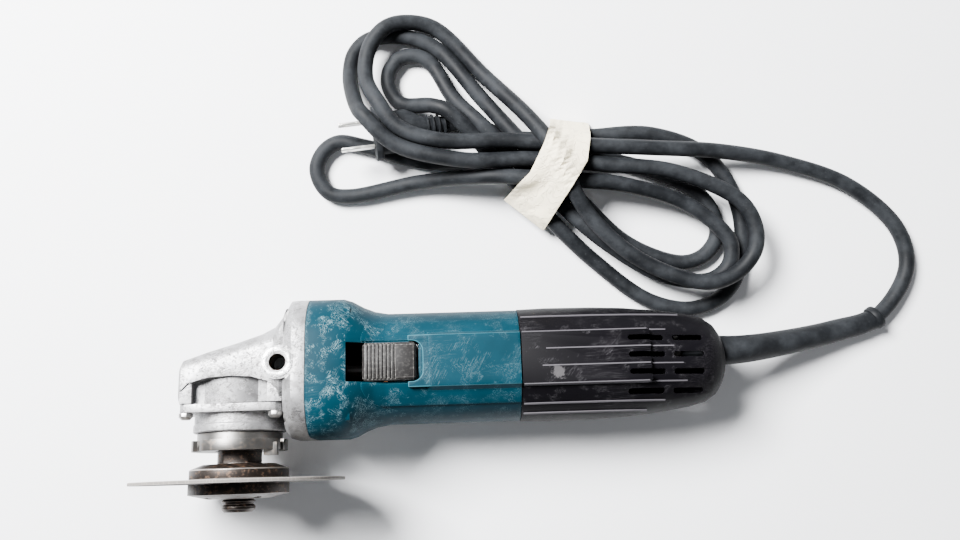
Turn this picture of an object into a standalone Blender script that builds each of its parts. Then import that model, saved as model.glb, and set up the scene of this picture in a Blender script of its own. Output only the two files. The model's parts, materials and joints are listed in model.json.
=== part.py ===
"""Corded small angle grinder, lying on its side with its mains lead bundled beside it.

The tool is modelled along its own two axes, which cross at its origin: x runs along the motor
shaft towards the rear, -y along the spindle towards the wheel, and z towards the side that
holds the slide switch. One empty then lays the whole tool down on the floor. Lengths are metres.
"""

import math

import bmesh
import bpy
import numpy as np
from mathutils import Matrix, Vector

MM = 0.001

# ---- clearances ----
GAP = 0.3 * MM  # between faces that meet
FIT = 0.15 * MM  # between a round piece and its bore, on the radius

# ---- motor housing, and the flange that carries it ----
BELL_HALF = 33.0 * MM  # half the height and width of the square front of the housing
BELL_CORNER = 22.0 * MM
BELL_WALL = 2.6 * MM
BELL_START = 35.5 * MM  # joint between gear housing and motor housing
BELL_LENGTH = 16.0 * MM
SHOULDER_LENGTH = 20.5 * MM  # bell down to barrel
BARREL_R = 27.25 * MM
BARREL_WALL = 2.4 * MM
BARREL_END = 135.5 * MM
PANEL_HALF = 11.85 * MM  # raised panel on both flat sides
PANEL_TOP = 28.0 * MM
PANEL_START = 92.0 * MM

# ---- rear cover ----
REAR_LENGTH = 100.8 * MM
REAR_R = 27.85 * MM
REAR_WALL = 2.5 * MM
# Share of its length, and how many mm its radius has changed there.
REAR_PROFILE = (
    (0.0, -0.4), (0.14, 0.0), (0.36, -0.2), (0.52, -0.9), (0.67, -2.4), (0.83, -4.8), (0.91, -7.0),
    (0.957, -10.1), (0.987, -14.5), (1.0, -17.5),
)
VENT_ROWS = (-8.0 * MM, 0.0, 8.0 * MM, 16.5 * MM)
VENT_WIDTH = 2.7 * MM
VENT_COLUMNS = ((0.496, 0.1786), (0.7143, 0.1538))  # start and length, as shares of the cover's length

# ---- gear housing ----
HEAD_FRONT = 24.4 * MM
HEAD_HALF = 26.0 * MM  # half width across the flat sides
HEAD_BOTTOM = 16.2 * MM
DRUM_R = 23.6 * MM
SCREW_AT = 23.0 * MM  # the four long screws, from the motor axis, both ways
SCREW_R = 2.0 * MM
SCREW_HEAD_R = 3.5 * MM
SIDE_HOLE_X = 22.9 * MM
SIDE_HOLE_R = 4.0 * MM
SIDE_BOSS_R = 7.9 * MM
SIDE_BOSS_FACE = 30.5 * MM
SPOT_FACE_R = 8.6 * MM  # cut into the flange round the boss
SIDE_HOLE_DEPTH = 13.5 * MM

# ---- bearing box and guard collar ----
BOX_HALF = 24.0 * MM
BOX_SCREW_AT = 20.5 * MM
BOX_FLANGE = 3.6 * MM
BOX_NECK_R = 21.5 * MM
BOX_LENGTH = 12.3 * MM
COLLAR_R = 20.0 * MM
COLLAR_LUG_R = 22.5 * MM
COLLAR_LENGTH = 8.3 * MM

# ---- wheel and its clamp ----
SPINDLE_R = 6.0 * MM
THREAD_R = 7.9 * MM
THREAD_PITCH = 2.3 * MM
HUB_R = 10.4 * MM
HUB_END = 43.2 * MM
FLANGE_R = 23.2 * MM
FLANGE_LENGTH = 6.9 * MM
WHEEL_R = 50.0 * MM
WHEEL_THICKNESS = 1.5 * MM
WHEEL_BORE_R = 11.1 * MM
NUT_R = 23.5 * MM
NUT_LENGTH = 6.9 * MM
SPINDLE_TAIL = 6.3 * MM  # thread that shows past the nut

# ---- bevel gears ----
MODULE = 1.1 * MM
GEAR_TEETH = 37
PINION_TEETH = 12
TOOTH_FACE = 5.0 * MM

# ---- bearings: bore radius, outer radius, width, ball radius, number of balls ----
SPINDLE_BEARING = (6.0 * MM, 16.0 * MM, 10.0 * MM, 2.95 * MM, 7)
FRONT_BEARING = (5.0 * MM, 13.0 * MM, 8.0 * MM, 2.35 * MM, 7)
REAR_BEARING = (3.5 * MM, 9.5 * MM, 6.0 * MM, 1.95 * MM, 7)
SPINDLE_BEARING_AT = 17.2 * MM
FRONT_BEARING_AT = 26.6 * MM
REAR_BEARING_AT = 165.0 * MM

# ---- motor ----
SHAFT_R = 4.0 * MM
FAN_R = 27.4 * MM
FAN_AT = 41.5 * MM
FAN_LENGTH = 10.0 * MM
CORE_AT = 78.0 * MM
CORE_LENGTH = 34.0 * MM
CORE_R = 16.0 * MM
CORE_SLOT_WIDTH = 3.8 * MM
CORE_SLOT_FLOOR = 9.0 * MM  # radius at the foot of each slot
FIELD_BORE_R = 16.4 * MM
FIELD_R = 24.5 * MM
FIELD_FLAT = 22.0 * MM
SLOTS = 12
COMMUTATOR_AT = 127.0 * MM
COMMUTATOR_LENGTH = 15.0 * MM
COMMUTATOR_R = 12.0 * MM
BRUSH = (6.0 * MM, 4.4 * MM, 9.0 * MM)  # along the shaft, across, and towards the commutator

# ---- slide switch ----
OPENING = (54.2 * MM, 87.5 * MM)
OPENING_HALF = 9.1 * MM
KNOB = (61.6 * MM, 86.4 * MM)
KNOB_HALF = 8.8 * MM
KNOB_BOTTOM = 24.4 * MM
KNOB_TOP = 29.6 * MM
KNOB_RIDGES = 8
ROD_HALF = 2.5 * MM
ROD_BOTTOM = 22.35 * MM
ROD_TOP = 24.0 * MM

# ---- spindle lock ----
LOCK_X = 11.2 * MM
LOCK_PIN_R = 2.0 * MM
LOCK_CAP_R = 4.7 * MM
LOCK_CAP_TOP = 16.6 * MM
LOCK_CAP_HEIGHT = 3.9 * MM
LOCK_SLOPE = 0.37  # the cap follows the slope of the housing's roof
LOCK_FLOOR = 9.0 * MM
LOCK_SPRING_END = 5.2 * MM
LOCK_TIP = 4.6 * MM
ROOF_POCKET = 8.0 * MM  # top of the bush, above the motor axis
BUSH_R = 6.8 * MM

# ---- mains lead ----
EXIT_UP = 4.5 * MM  # the lead leaves the rear cover this far above the motor axis
CLAMP_AT = REAR_LENGTH - 23.8 * MM  # behind the joint
CLAMP_SCREW_AT = 6.6 * MM
CLAMP_SCREW_R = 1.3 * MM
LEAD_R = 4.0 * MM
GUARD_R = 7.4 * MM
GUARD_TIP_R = 5.3 * MM
GUARD_BEAD_R = 6.2 * MM
GUARD_FLANGE_R = 8.8 * MM
GUARD_FLANGE = (9.0 * MM, 6.4 * MM)  # both faces of its flange, ahead of the cover's end
PER_SPAN = 12  # points of the smooth line from one point of the route to the next
# Middle of the guard on its way down to the floor, then of the lead, in mm on the floor's axes.
GUARD_ROUTE = ((174.5, 21, 19), (207.5, 26, 9.5), (232.5, 33.5, 6.3))
LEAD_ROUTE = (
    (249, 57.5, 4.5), (245, 78.5, 4.1), (220, 102, 4.1), (185.5, 115, 6), (150.5, 121, 12.5),
    (114, 123, 18), (78, 125, 20.5), (41.5, 128, 22.5), (5.5, 128.5, 27.5), (-14.5, 135.5, 27.5),
    (-24.5, 148.5, 26.5), (-31.5, 163.5, 17), (-29.5, 179.5, 13.5), (-21.5, 189.5, 12.5), (-11, 193, 9),
    (4, 190.5, 5), (29, 165, 6), (51, 140, 21.5), (63, 122.5, 30), (79.5, 90.5, 23.5), (106, 66, 20),
    (139, 53.5, 21), (154.5, 57.5, 20), (164.5, 68.5, 20), (165.5, 80.5, 20), (158, 94.5, 20),
    (125.5, 110, 20.5), (89, 115, 20.5), (52.5, 118.5, 21), (16.5, 118.5, 26.5), (-16.5, 127, 28.5),
    (-31.5, 141.5, 29.5), (-35.5, 147, 24), (-40.5, 166, 9.5), (-38.5, 178, 5.5), (-31, 185.5, 4.1),
    (-15, 187, 4.5), (4.5, 180, 4.1), (27.5, 152.5, 8.5), (51, 125, 13), (76.5, 98.5, 10.5),
    (103, 74.5, 4.5), (130.5, 64, 4.1), (142, 67, 4.1), (149, 75.5, 4.1), (149.5, 84, 4.1),
    (142, 98.5, 4.1), (109.5, 115, 4.1), (74, 121.5, 4.1), (37.5, 121.5, 4.1), (0.5, 120, 4.1),
    (-34.5, 129.5, 4.1), (-48, 132, 4.1), (-55.5, 128, 4.1), (-60, 119.5, 4.1), (-58.5, 111.5, 4.1),
    (-53, 105, 4.1), (-42.5, 103.5, 4.1), (-6.5, 109.5, 7), (28, 110.5, 19.5), (64, 108, 21),
    (100, 104.5, 17.5), (134.5, 93, 12.5), (153.5, 76, 12.5), (155, 68, 12.5), (152.5, 60.5, 12),
    (143, 54.5, 12), (119.5, 57.5, 12), (88.5, 76.5, 12.5), (62, 101.5, 12), (37, 128, 13.5),
    (26, 139, 14.5), (13, 153, 8), (2.5, 171, 4.1), (-3.5, 175.5, 4.1), (-10.5, 176.5, 4.1),
    (-16.5, 174.5, 4.1), (-17, 173.5, 4.1), (-20.5, 168.5, 4.1), (-21, 161, 4.5), (-15, 151.5, 5.5),
    (2.5, 148, 15.5), (10.5, 144.5, 18), (34, 119.5, 12), (58, 92, 12), (84, 66.5, 5), (113, 44.5, 4.1),
    (135.5, 39.5, 4.1), (152.5, 46.5, 4.1), (161, 60.5, 4.1), (161.5, 92, 4.1), (145.5, 119.5, 4.1),
    (116.5, 132, 4.1), (80, 131.5, 4.5), (43.5, 132, 4.1), (21, 139.5, 7.2),
)

# ---- plug ----
PLUG_ENTRY = (9.3 * MM, 138.6 * MM, 9.5 * MM)  # where the lead goes in
PLUG_FACE = (-28.3 * MM, 134.0 * MM, 16.4 * MM)  # middle of the face that the blades stand on
PLUG_BODY = (22.0 * MM, 14.0 * MM)  # width and thickness
PLUG_FLANGE = (28.0 * MM, 16.0 * MM, 3.8 * MM)  # width, thickness and length
BLADE = (17.0 * MM, 1.5 * MM, 6.3 * MM)  # length, thickness and height
BLADE_SPACING = 12.7 * MM

# ---- strip of tape round the lead ----
# Its two long edges over the bundle, in mm on the floor's axes, from far side to near side.
TAPE_LEFT = ((64, 142), (54, 114), (38, 99))
TAPE_RIGHT = ((84, 139), (79.5, 116), (58, 82.5))
TAPE_ROWS = 21
TAPE_COLUMNS = 7
TAPE_THICKNESS = 0.9 * MM
TAPE_SLACK = 1.2 * MM  # between tape and lead
TAPE_LOW = (0.6 * MM, 7.0 * MM)  # height of its far and near ends

MOTOR = Matrix(((0, 0, 1, 0), (1, 0, 0, 0), (0, 1, 0, 0), (0, 0, 0, 1)))  # lathe axis along x
SPINDLE = Matrix(((1, 0, 0, 0), (0, 0, -1, 0), (0, 1, 0, 0), (0, 0, 0, 1)))  # along -y
UPRIGHT = Matrix.Identity(4)


# ---------------------------------------------------------------- tools
def clear_scene():
    for obj in list(bpy.data.objects):
        bpy.data.objects.remove(obj, do_unlink=True)


def material(name, colour, roughness, metallic=0.0):
    made = bpy.data.materials.new(name)
    made.use_nodes = True
    shader = made.node_tree.nodes["Principled BSDF"]
    shader.inputs["Base Color"].default_value = (*colour, 1)
    shader.inputs["Roughness"].default_value = roughness
    shader.inputs["Metallic"].default_value = metallic
    return made


def empty(name, parent=None):
    made = bpy.data.objects.new(name, None)
    bpy.context.scene.collection.objects.link(made)
    made.parent = parent
    return made


def finish(bm, name, surface, parent, place=UPRIGHT):
    """Turn a bmesh into one named object, with its faces outwards."""
    bmesh.ops.remove_doubles(bm, verts=bm.verts, dist=0.001 * MM)
    bmesh.ops.transform(bm, matrix=place, verts=bm.verts)
    bmesh.ops.recalc_face_normals(bm, faces=bm.faces)
    mesh = bpy.data.meshes.new(name)
    bm.to_mesh(mesh)
    bm.free()
    mesh.materials.append(surface)
    made = bpy.data.objects.new(name, mesh)
    bpy.context.scene.collection.objects.link(made)
    made.parent = parent
    return made


def lathe(name, profile, surface, parent, place=MOTOR, steps=28):
    """Spin (along, radius) points round the axis. Ends on the axis close it; else it is a ring."""
    bm = bmesh.new()
    verts = [bm.verts.new((r, 0, along)) for along, r in profile]
    closed = profile[0][1] > 0 or profile[-1][1] > 0
    pairs = list(zip(verts, verts[1:])) + ([(verts[-1], verts[0])] if closed else [])
    edges = [bm.edges.new(pair) for pair in pairs]
    bmesh.ops.spin(
        bm, geom=verts + edges, cent=(0, 0, 0), axis=(0, 0, 1), angle=math.tau, steps=steps
    )
    return finish(bm, name, surface, parent, place)


def rod(name, start, end, radius, surface, parent, place=MOTOR, steps=24, at=(0, 0)):
    """A plain round bar, whose centre is moved sideways by at, in the lathe's own x and y."""
    place = place @ Matrix.Translation((at[0], at[1], 0))
    points = [(start, 0), (start, radius), (end, radius), (end, 0)]
    return lathe(name, points, surface, parent, place, steps)


def box(name, low, high, surface, parent, bevel=0.0):
    bm = bmesh.new()
    bmesh.ops.create_cube(bm, size=1)
    low, high = Vector(low), Vector(high)
    scale = Matrix.Diagonal((*(high - low), 1))
    bmesh.ops.transform(bm, matrix=Matrix.Translation((low + high) / 2) @ scale, verts=bm.verts)
    if bevel:
        bmesh.ops.bevel(bm, geom=bm.edges[:], offset=bevel, segments=1, affect="EDGES")
    return finish(bm, name, surface, parent)


def prism(name, outline, low, high, surface, parent, place):
    """Extrude a closed flat outline from low to high along the lathe axis of place."""
    bm = bmesh.new()
    face = bm.faces.new([bm.verts.new((a, b, low)) for a, b in outline])
    made = bmesh.ops.extrude_face_region(bm, geom=[face])
    top = [item for item in made["geom"] if isinstance(item, bmesh.types.BMVert)]
    bmesh.ops.translate(bm, vec=(0, 0, high - low), verts=top)
    return finish(bm, name, surface, parent, place)


def loft(name, rings, surface, parent, hollow=False):
    """Skin rings of equal count. A hollow loft closes its last ring onto its first."""
    bm = bmesh.new()
    loops = [[bm.verts.new(point) for point in ring] for ring in rings]
    pairs = list(zip(loops, loops[1:])) + ([(loops[-1], loops[0])] if hollow else [])
    for one, two in pairs:
        for i, vert in enumerate(one):
            k = (i + 1) % len(one)
            bm.faces.new((vert, one[k], two[k], two[i]))
    if not hollow:
        bm.faces.new(loops[0])
        bm.faces.new(loops[-1])
    return finish(bm, name, surface, parent)


def boolean(target, tool, operation):
    """Cut target with tool, or join them, then drop the tool."""
    for obj in (target, tool):
        bm = bmesh.new()
        bm.from_mesh(obj.data)
        bmesh.ops.triangulate(bm, faces=[face for face in bm.faces if len(face.verts) > 3])
        bm.to_mesh(obj.data)
        bm.free()
    step = target.modifiers.new("boolean", "BOOLEAN")
    step.operation = operation
    step.object = tool
    bpy.context.view_layer.update()
    graph = bpy.context.evaluated_depsgraph_get()
    target.data = bpy.data.meshes.new_from_object(target.evaluated_get(graph))
    target.modifiers.remove(step)
    bpy.data.objects.remove(tool, do_unlink=True)
    bm = bmesh.new()
    bm.from_mesh(target.data)
    bmesh.ops.remove_doubles(bm, verts=bm.verts, dist=0.004 * MM)
    bmesh.ops.dissolve_degenerate(bm, edges=bm.edges, dist=0.002 * MM)
    bmesh.ops.dissolve_limit(bm, angle_limit=math.radians(0.2), verts=bm.verts, edges=bm.edges)
    bm.to_mesh(target.data)
    bm.free()


def cut(target, tool):
    boolean(target, tool, "DIFFERENCE")


def join(target, tool):
    boolean(target, tool, "UNION")


def square_ring(x, half, corner, per_corner=7):
    """A rounded square across the motor axis, at x. Corner equal to half makes a circle."""
    points = []
    for quarter in range(4):
        middle = math.radians(45 + 90 * quarter)
        centre = Vector((math.copysign(half - corner, math.cos(middle)),
                         math.copysign(half - corner, math.sin(middle))))
        for i in range(per_corner):
            angle = math.radians(90 * quarter + 90 * (i + 0.5) / per_corner)
            points.append((x, centre.x + corner * math.cos(angle),
                           centre.y + corner * math.sin(angle)))
    return points


def head_ring(x, top, bottom, half, corner, per_corner=7):
    """A rounded rectangle across the motor axis, from top above the axis to bottom below it."""
    middle, high = (top - bottom) / 2, (top + bottom) / 2
    points = []
    for quarter in range(4):
        turn = math.radians(45 + 90 * quarter)
        centre = Vector((middle + math.copysign(high - corner, math.cos(turn)),
                         math.copysign(half - corner, math.sin(turn))))
        for i in range(per_corner):
            angle = math.radians(90 * quarter + 90 * (i + 0.5) / per_corner)
            points.append((x, centre.x + corner * math.cos(angle),
                           centre.y + corner * math.sin(angle)))
    return points


def rounded_outline(half_a, half_b, corner, per_corner=4):
    """A flat rounded rectangle about the lathe axis."""
    points = []
    for quarter in range(4):
        middle = math.radians(45 + 90 * quarter)
        for i in range(per_corner):
            angle = math.radians(90 * quarter + 90 * i / (per_corner - 1))
            points.append((math.copysign(half_a - corner, math.cos(middle)) + corner * math.cos(angle),
                           math.copysign(half_b - corner, math.sin(middle)) + corner * math.sin(angle)))
    return points


# ---------------------------------------------------------------- housings
def gear_housing(tool, metal):
    """The cast head: a wedge that grows into the round flange the motor housing bolts to."""
    rear = BELL_START
    flange_front = rear - 10.5 * MM
    # distance along, roof, floor, half width, corner radius
    sections = (
        (-HEAD_FRONT, 2.6 * MM, HEAD_BOTTOM, HEAD_HALF - 5 * MM, 5 * MM),
        (-HEAD_FRONT + 2 * MM, 4.4 * MM, HEAD_BOTTOM, HEAD_HALF - 1 * MM, 6 * MM),
        (-12 * MM, 7.9 * MM, HEAD_BOTTOM, HEAD_HALF, 7 * MM),
        (2 * MM, 12.2 * MM, HEAD_BOTTOM, HEAD_HALF, 8 * MM),
        (14 * MM, 16.4 * MM, HEAD_BOTTOM, HEAD_HALF, 9 * MM),
        (20 * MM, 19.5 * MM, HEAD_BOTTOM, HEAD_HALF + 1 * MM, 10 * MM),
        (23.2 * MM, 24 * MM, HEAD_BOTTOM, HEAD_HALF + 3 * MM, 11 * MM),
        (flange_front - 0.1 * MM, 28.5 * MM, HEAD_BOTTOM, BELL_HALF - 4.6 * MM, 13 * MM),
        (flange_front, BELL_HALF - 4 * MM, BELL_HALF - 2.5 * MM, BELL_HALF - 4.5 * MM, 18 * MM),
        (flange_front + 2 * MM, BELL_HALF, BELL_HALF, BELL_HALF - 2 * MM, BELL_CORNER - MM),
        (flange_front + 4.5 * MM, BELL_HALF, BELL_HALF, BELL_HALF, BELL_CORNER),
        (rear, BELL_HALF, BELL_HALF, BELL_HALF, BELL_CORNER),
    )
    body = loft("gear_housing", [head_ring(*row) for row in sections], metal, tool)
    arch = [(-DRUM_R, HEAD_BOTTOM + 1 * MM), (-23 * MM, 11 * MM), (-19 * MM, 7 * MM),
            (-10 * MM, 4.6 * MM), (0, 4 * MM), (10 * MM, 4.6 * MM), (18 * MM, 7 * MM),
            (22 * MM, 11 * MM), (DRUM_R, HEAD_BOTTOM + 1 * MM)]
    outline = [(x, -s) for x, s in arch]
    for side in (-1, 1):
        ends = sorted((side * 20 * MM, side * 36 * MM))
        cut(body, prism("arch", outline, *ends, metal, tool, UPRIGHT))
    join(body, rod("drum", 4 * MM, HEAD_BOTTOM, DRUM_R, metal, tool, SPINDLE, 32))
    for side in (-1, 1):
        ends = sorted((side * 20 * MM, side * SIDE_BOSS_FACE))
        join(body, rod("boss", *ends, SIDE_BOSS_R, metal, tool, UPRIGHT, 28, (SIDE_HOLE_X, MM)))
        ends = sorted((side * SIDE_BOSS_FACE, side * (BELL_HALF + MM)))
        cut(body, rod("spot_face", *ends, SPOT_FACE_R, metal, tool, UPRIGHT, 28, (SIDE_HOLE_X, MM)))
    # gear chamber, bush pocket, pinion passage and front bearing seat
    cavities = (
        (SPINDLE, 1.0 * MM, HEAD_BOTTOM + 3 * MM, 22.0 * MM, 24, (0, 0)),
        (SPINDLE, -ROOF_POCKET - GAP, 2 * MM, BUSH_R + FIT, 16, (0, 0)),
        (MOTOR, 14.0 * MM, 30 * MM, 8.6 * MM, 16, (0, 0)),
        (MOTOR, FRONT_BEARING_AT - GAP, rear + 5 * MM, FRONT_BEARING[1] + FIT, 16, (0, 0)),
        (SPINDLE, -30 * MM, -LOCK_FLOOR, LOCK_CAP_R + GAP, 16, (LOCK_X, 0)),
        (SPINDLE, -LOCK_FLOOR - 1 * MM, -LOCK_SPRING_END, 3.3 * MM, 8, (LOCK_X, 0)),
        (SPINDLE, -LOCK_SPRING_END - 1 * MM, 2 * MM, LOCK_PIN_R + FIT, 8, (LOCK_X, 0)),
    )
    for place, start, end, radius, steps, at in cavities:
        cut(body, rod("cavity", start, end, radius, metal, tool, place, steps, at))
    pocket = [(rear - 6 * MM, 15.6 * MM), (rear - 6 * MM, 28.3 * MM),
              (rear + 2 * MM, 28.3 * MM), (rear + 2 * MM, 15.6 * MM)]
    cut(body, lathe("pocket", pocket, metal, tool, MOTOR, 24))
    for side in (-1, 1):
        ends = sorted((side * (SIDE_BOSS_FACE - SIDE_HOLE_DEPTH), side * (SIDE_BOSS_FACE + 3 * MM)))
        cut(body, rod("hole", *ends, SIDE_HOLE_R, metal, tool, UPRIGHT, 20, (SIDE_HOLE_X, MM)))
    for a in (-1, 1):
        for b in (-1, 1):
            at = (a * SCREW_AT, b * SCREW_AT)
            cut(body, rod("bore", 15 * MM, rear + 2 * MM, SCREW_R + FIT, metal, tool, MOTOR, 10, at))
            cut(body, rod("seat", 8 * MM, rear - 7 * MM, SCREW_HEAD_R + GAP, metal, tool, MOTOR, 12, at))
            at = (a * BOX_SCREW_AT, b * BOX_SCREW_AT)
            cut(body, rod("bore", 7 * MM, 20 * MM, SCREW_R + FIT, metal, tool, SPINDLE, 10, at))
    return body


def motor_housing(tool, plastic):
    """The moulded body: a square bell that necks down to a round barrel, with the rear bearing seat."""
    front, bell_end = BELL_START + GAP, BELL_START + BELL_LENGTH
    barrel = bell_end + SHOULDER_LENGTH
    inner = BARREL_R - BARREL_WALL
    outside = (
        (front, BELL_HALF, BELL_CORNER),
        (bell_end, BELL_HALF, BELL_CORNER),
        (bell_end + 0.2 * SHOULDER_LENGTH, BELL_HALF - 1.0 * MM, BELL_CORNER + 1 * MM),
        (bell_end + 0.45 * SHOULDER_LENGTH, BELL_HALF - 3.3 * MM, BELL_CORNER + 3 * MM),
        (bell_end + 0.7 * SHOULDER_LENGTH, BARREL_R + 0.9 * MM, BARREL_R - 0.6 * MM),
        (barrel, BARREL_R, BARREL_R),
        (BARREL_END - GAP, BARREL_R, BARREL_R),
    )
    inside = (
        (BARREL_END - GAP, inner, inner),
        (barrel - 1 * MM, inner, inner),
        (bell_end, BELL_HALF - BELL_WALL, BELL_CORNER - 2 * MM),
        (front, BELL_HALF - BELL_WALL, BELL_CORNER - 2 * MM),
    )
    body = loft("motor_housing", [square_ring(*row) for row in outside + inside], plastic, tool, True)
    for side in (-1, 1):
        low, high = sorted((side * (BARREL_R - 1.6 * MM), side * PANEL_TOP))
        join(body, box("panel", (PANEL_START, -PANEL_HALF, low),
                       (BARREL_END - 0.5 * MM, PANEL_HALF, high), plastic, tool))
    for a in (-1, 1):
        for b in (-1, 1):
            at = (a * SCREW_AT, b * SCREW_AT)
            post_end = bell_end + 4 * MM
            join(body, rod("post", front + 0.4 * MM, post_end, 4.2 * MM, plastic, tool, MOTOR, 8, at))
            cut(body, rod("bore", front - MM, post_end - 3 * MM, SCREW_R + FIT, plastic, tool, MOTOR, 10, at))
            leg = (inner - 3.2 * MM) * math.sqrt(0.5)
            at = (a * leg, b * leg)
            for start, end, radius in ((BARREL_END - 16 * MM, BARREL_END - MM, 3.6 * MM),
                                       (BARREL_END - 15 * MM, REAR_BEARING_AT, 2.6 * MM)):
                join(body, rod("leg", start, end, radius, plastic, tool, MOTOR, 8, at))
    seat_front, seat_rear = REAR_BEARING_AT - 2 * MM, REAR_BEARING_AT + REAR_BEARING[2] + GAP
    seat = REAR_BEARING[1] + FIT
    plate = [(seat_front, SHAFT_R + 1 * MM), (seat_front, inner - 0.6 * MM),
             (seat_rear, inner - 0.6 * MM), (seat_rear, seat),
             (REAR_BEARING_AT - GAP, seat), (REAR_BEARING_AT - GAP, SHAFT_R + 1 * MM)]
    join(body, lathe("plate", plate, plastic, tool, MOTOR, 20))
    notch = ROD_HALF + 0.6 * MM
    cut(body, box("notch", (seat_front - MM, -notch, ROD_BOTTOM - 0.6 * MM),
                  (seat_rear + MM, notch, BARREL_R), plastic, tool))
    cut(body, box("opening", (OPENING[0], -OPENING_HALF, BARREL_R - 10 * MM),
                  (OPENING[1], OPENING_HALF, BELL_HALF + 2 * MM), plastic, tool))
    cut(body, rod("bore", -REAR_R, -inner + 9 * MM, SCREW_R - 0.2 * MM, plastic, tool, UPRIGHT, 12,
                  (REAR_BEARING_AT + 2 * MM, 0)))
    return body


def rear_radius(along):
    """Outer radius of the rear cover, a long barrel that closes in a round end."""
    shares, changes = zip(*REAR_PROFILE)
    return REAR_R + MM * float(np.interp(along / REAR_LENGTH, shares, changes))


def rear_cover(tool, plastic):
    outside = [(BARREL_END + share * REAR_LENGTH, REAR_R + change * MM) for share, change in REAR_PROFILE]
    end = BARREL_END + REAR_LENGTH
    inside = [(end - REAR_WALL, 0), (end - REAR_WALL, 9 * MM)]
    inside += [(x, r - REAR_WALL) for x, r in reversed(outside[:7])]
    body = lathe("rear_cover", [(end, 0)] + outside[::-1] + inside[::-1], plastic, tool, MOTOR, 32)
    cut(body, rod("exit", end - 15 * MM, end + 5 * MM, GUARD_R + GAP, plastic, tool, MOTOR, 20, (EXIT_UP, 0)))
    for side in (-1, 1):
        low, high = sorted((side * (REAR_R - 1.6 * MM), side * (PANEL_TOP + 0.3 * MM)))
        join(body, box("panel", (BARREL_END + 0.2 * MM, -PANEL_HALF, low),
                       (BARREL_END + 0.6 * REAR_LENGTH, PANEL_HALF, high), plastic, tool))
        low, high = sorted((side * 11 * MM, side * 32 * MM))
        for start, length in VENT_COLUMNS:
            middle = BARREL_END + (start + length / 2) * REAR_LENGTH
            slot = rounded_outline(length / 2 * REAR_LENGTH, VENT_WIDTH / 2, 0.49 * VENT_WIDTH)
            for row in VENT_ROWS:
                outline = [(middle + a, b - row) for a, b in slot]
                cut(body, prism("vent", outline, low, high, plastic, tool, UPRIGHT))
    clamp = BARREL_END + CLAMP_AT
    join(body, box("clamp_base", (clamp - 3.5 * MM, EXIT_UP - 9 * MM, -19.5 * MM),
                   (clamp + 3.5 * MM, EXIT_UP + 9 * MM, -LEAD_R - GAP), plastic, tool))
    for side in (-1, 1):
        at = (clamp, EXIT_UP + side * CLAMP_SCREW_AT)
        cut(body, rod("bore", -13 * MM, 0, CLAMP_SCREW_R + FIT, plastic, tool, UPRIGHT, 10, at))
    at = (REAR_BEARING_AT + 2 * MM, 0)
    outer = rear_radius(at[0] - BARREL_END)
    cut(body, rod("bore", -30 * MM, -20 * MM, SCREW_R + FIT, plastic, tool, UPRIGHT, 12, at))
    cut(body, rod("seat", -30 * MM, -outer + 1.6 * MM, SCREW_HEAD_R + GAP, plastic, tool, UPRIGHT, 16, at))
    return body


def bearing_box(tool, metal):
    """The cover under the gears: a square flange and a round neck that holds the spindle bearing."""
    top = HEAD_BOTTOM + GAP
    outline = rounded_outline(BOX_HALF, BOX_HALF, 6 * MM)
    body = prism("bearing_box", outline, top, top + BOX_FLANGE, metal, tool, SPINDLE)
    neck = [(top + 1 * MM, 0), (top + 1 * MM, BOX_NECK_R), (top + 8.2 * MM, BOX_NECK_R),
            (top + 8.8 * MM, BOX_NECK_R + 0.5 * MM), (top + BOX_LENGTH - 0.6 * MM, BOX_NECK_R + 0.5 * MM),
            (top + BOX_LENGTH, BOX_NECK_R), (top + BOX_LENGTH, 0)]
    join(body, lathe("neck", neck, metal, tool, SPINDLE, 32))
    seat_end = SPINDLE_BEARING_AT + SPINDLE_BEARING[2] + GAP
    cut(body, rod("seat", 0, seat_end, SPINDLE_BEARING[1] + FIT, metal, tool, SPINDLE, 20))
    cut(body, rod("mouth", 10 * MM, top + BOX_LENGTH + MM, HUB_R + 0.8 * MM, metal, tool, SPINDLE, 24))
    for a in (-1, 1):
        for b in (-1, 1):
            at = (a * BOX_SCREW_AT, b * BOX_SCREW_AT)
            cut(body, rod("bore", 10 * MM, 24 * MM, SCREW_R + FIT, metal, tool, SPINDLE, 10, at))
    return body


def guard_collar(tool, metal):
    """The steel ring that a wheel guard clamps to, with its notched lugs."""
    top = HEAD_BOTTOM + BOX_LENGTH + 2 * GAP
    lugs = top + 3.3 * MM
    bore = HUB_R + 1.2 * MM
    profile = [(top, bore), (top, COLLAR_R), (lugs, COLLAR_R), (lugs, COLLAR_LUG_R),
               (top + COLLAR_LENGTH, COLLAR_LUG_R), (top + COLLAR_LENGTH, bore)]
    body = lathe("guard_collar", profile, metal, tool, SPINDLE, 32)
    for angle, width in ((140, 7), (250, 7), (18, 3)):
        turn = SPINDLE @ Matrix.Rotation(math.radians(angle), 4, "Z")
        outline = [(COLLAR_R, -width / 2 * MM), (COLLAR_R + 9 * MM, -width / 2 * MM),
                   (COLLAR_R + 9 * MM, width / 2 * MM), (COLLAR_R, width / 2 * MM)]
        cut(body, prism("notch", outline, lugs - MM, top + 30 * MM, metal, tool, turn))
    stop = box("stop", (14 * MM, -top - COLLAR_LENGTH - 2.6 * MM, 8 * MM),
               (20 * MM, -top - 5 * MM, 13 * MM), metal, tool)
    join(body, stop)
    return body


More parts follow.
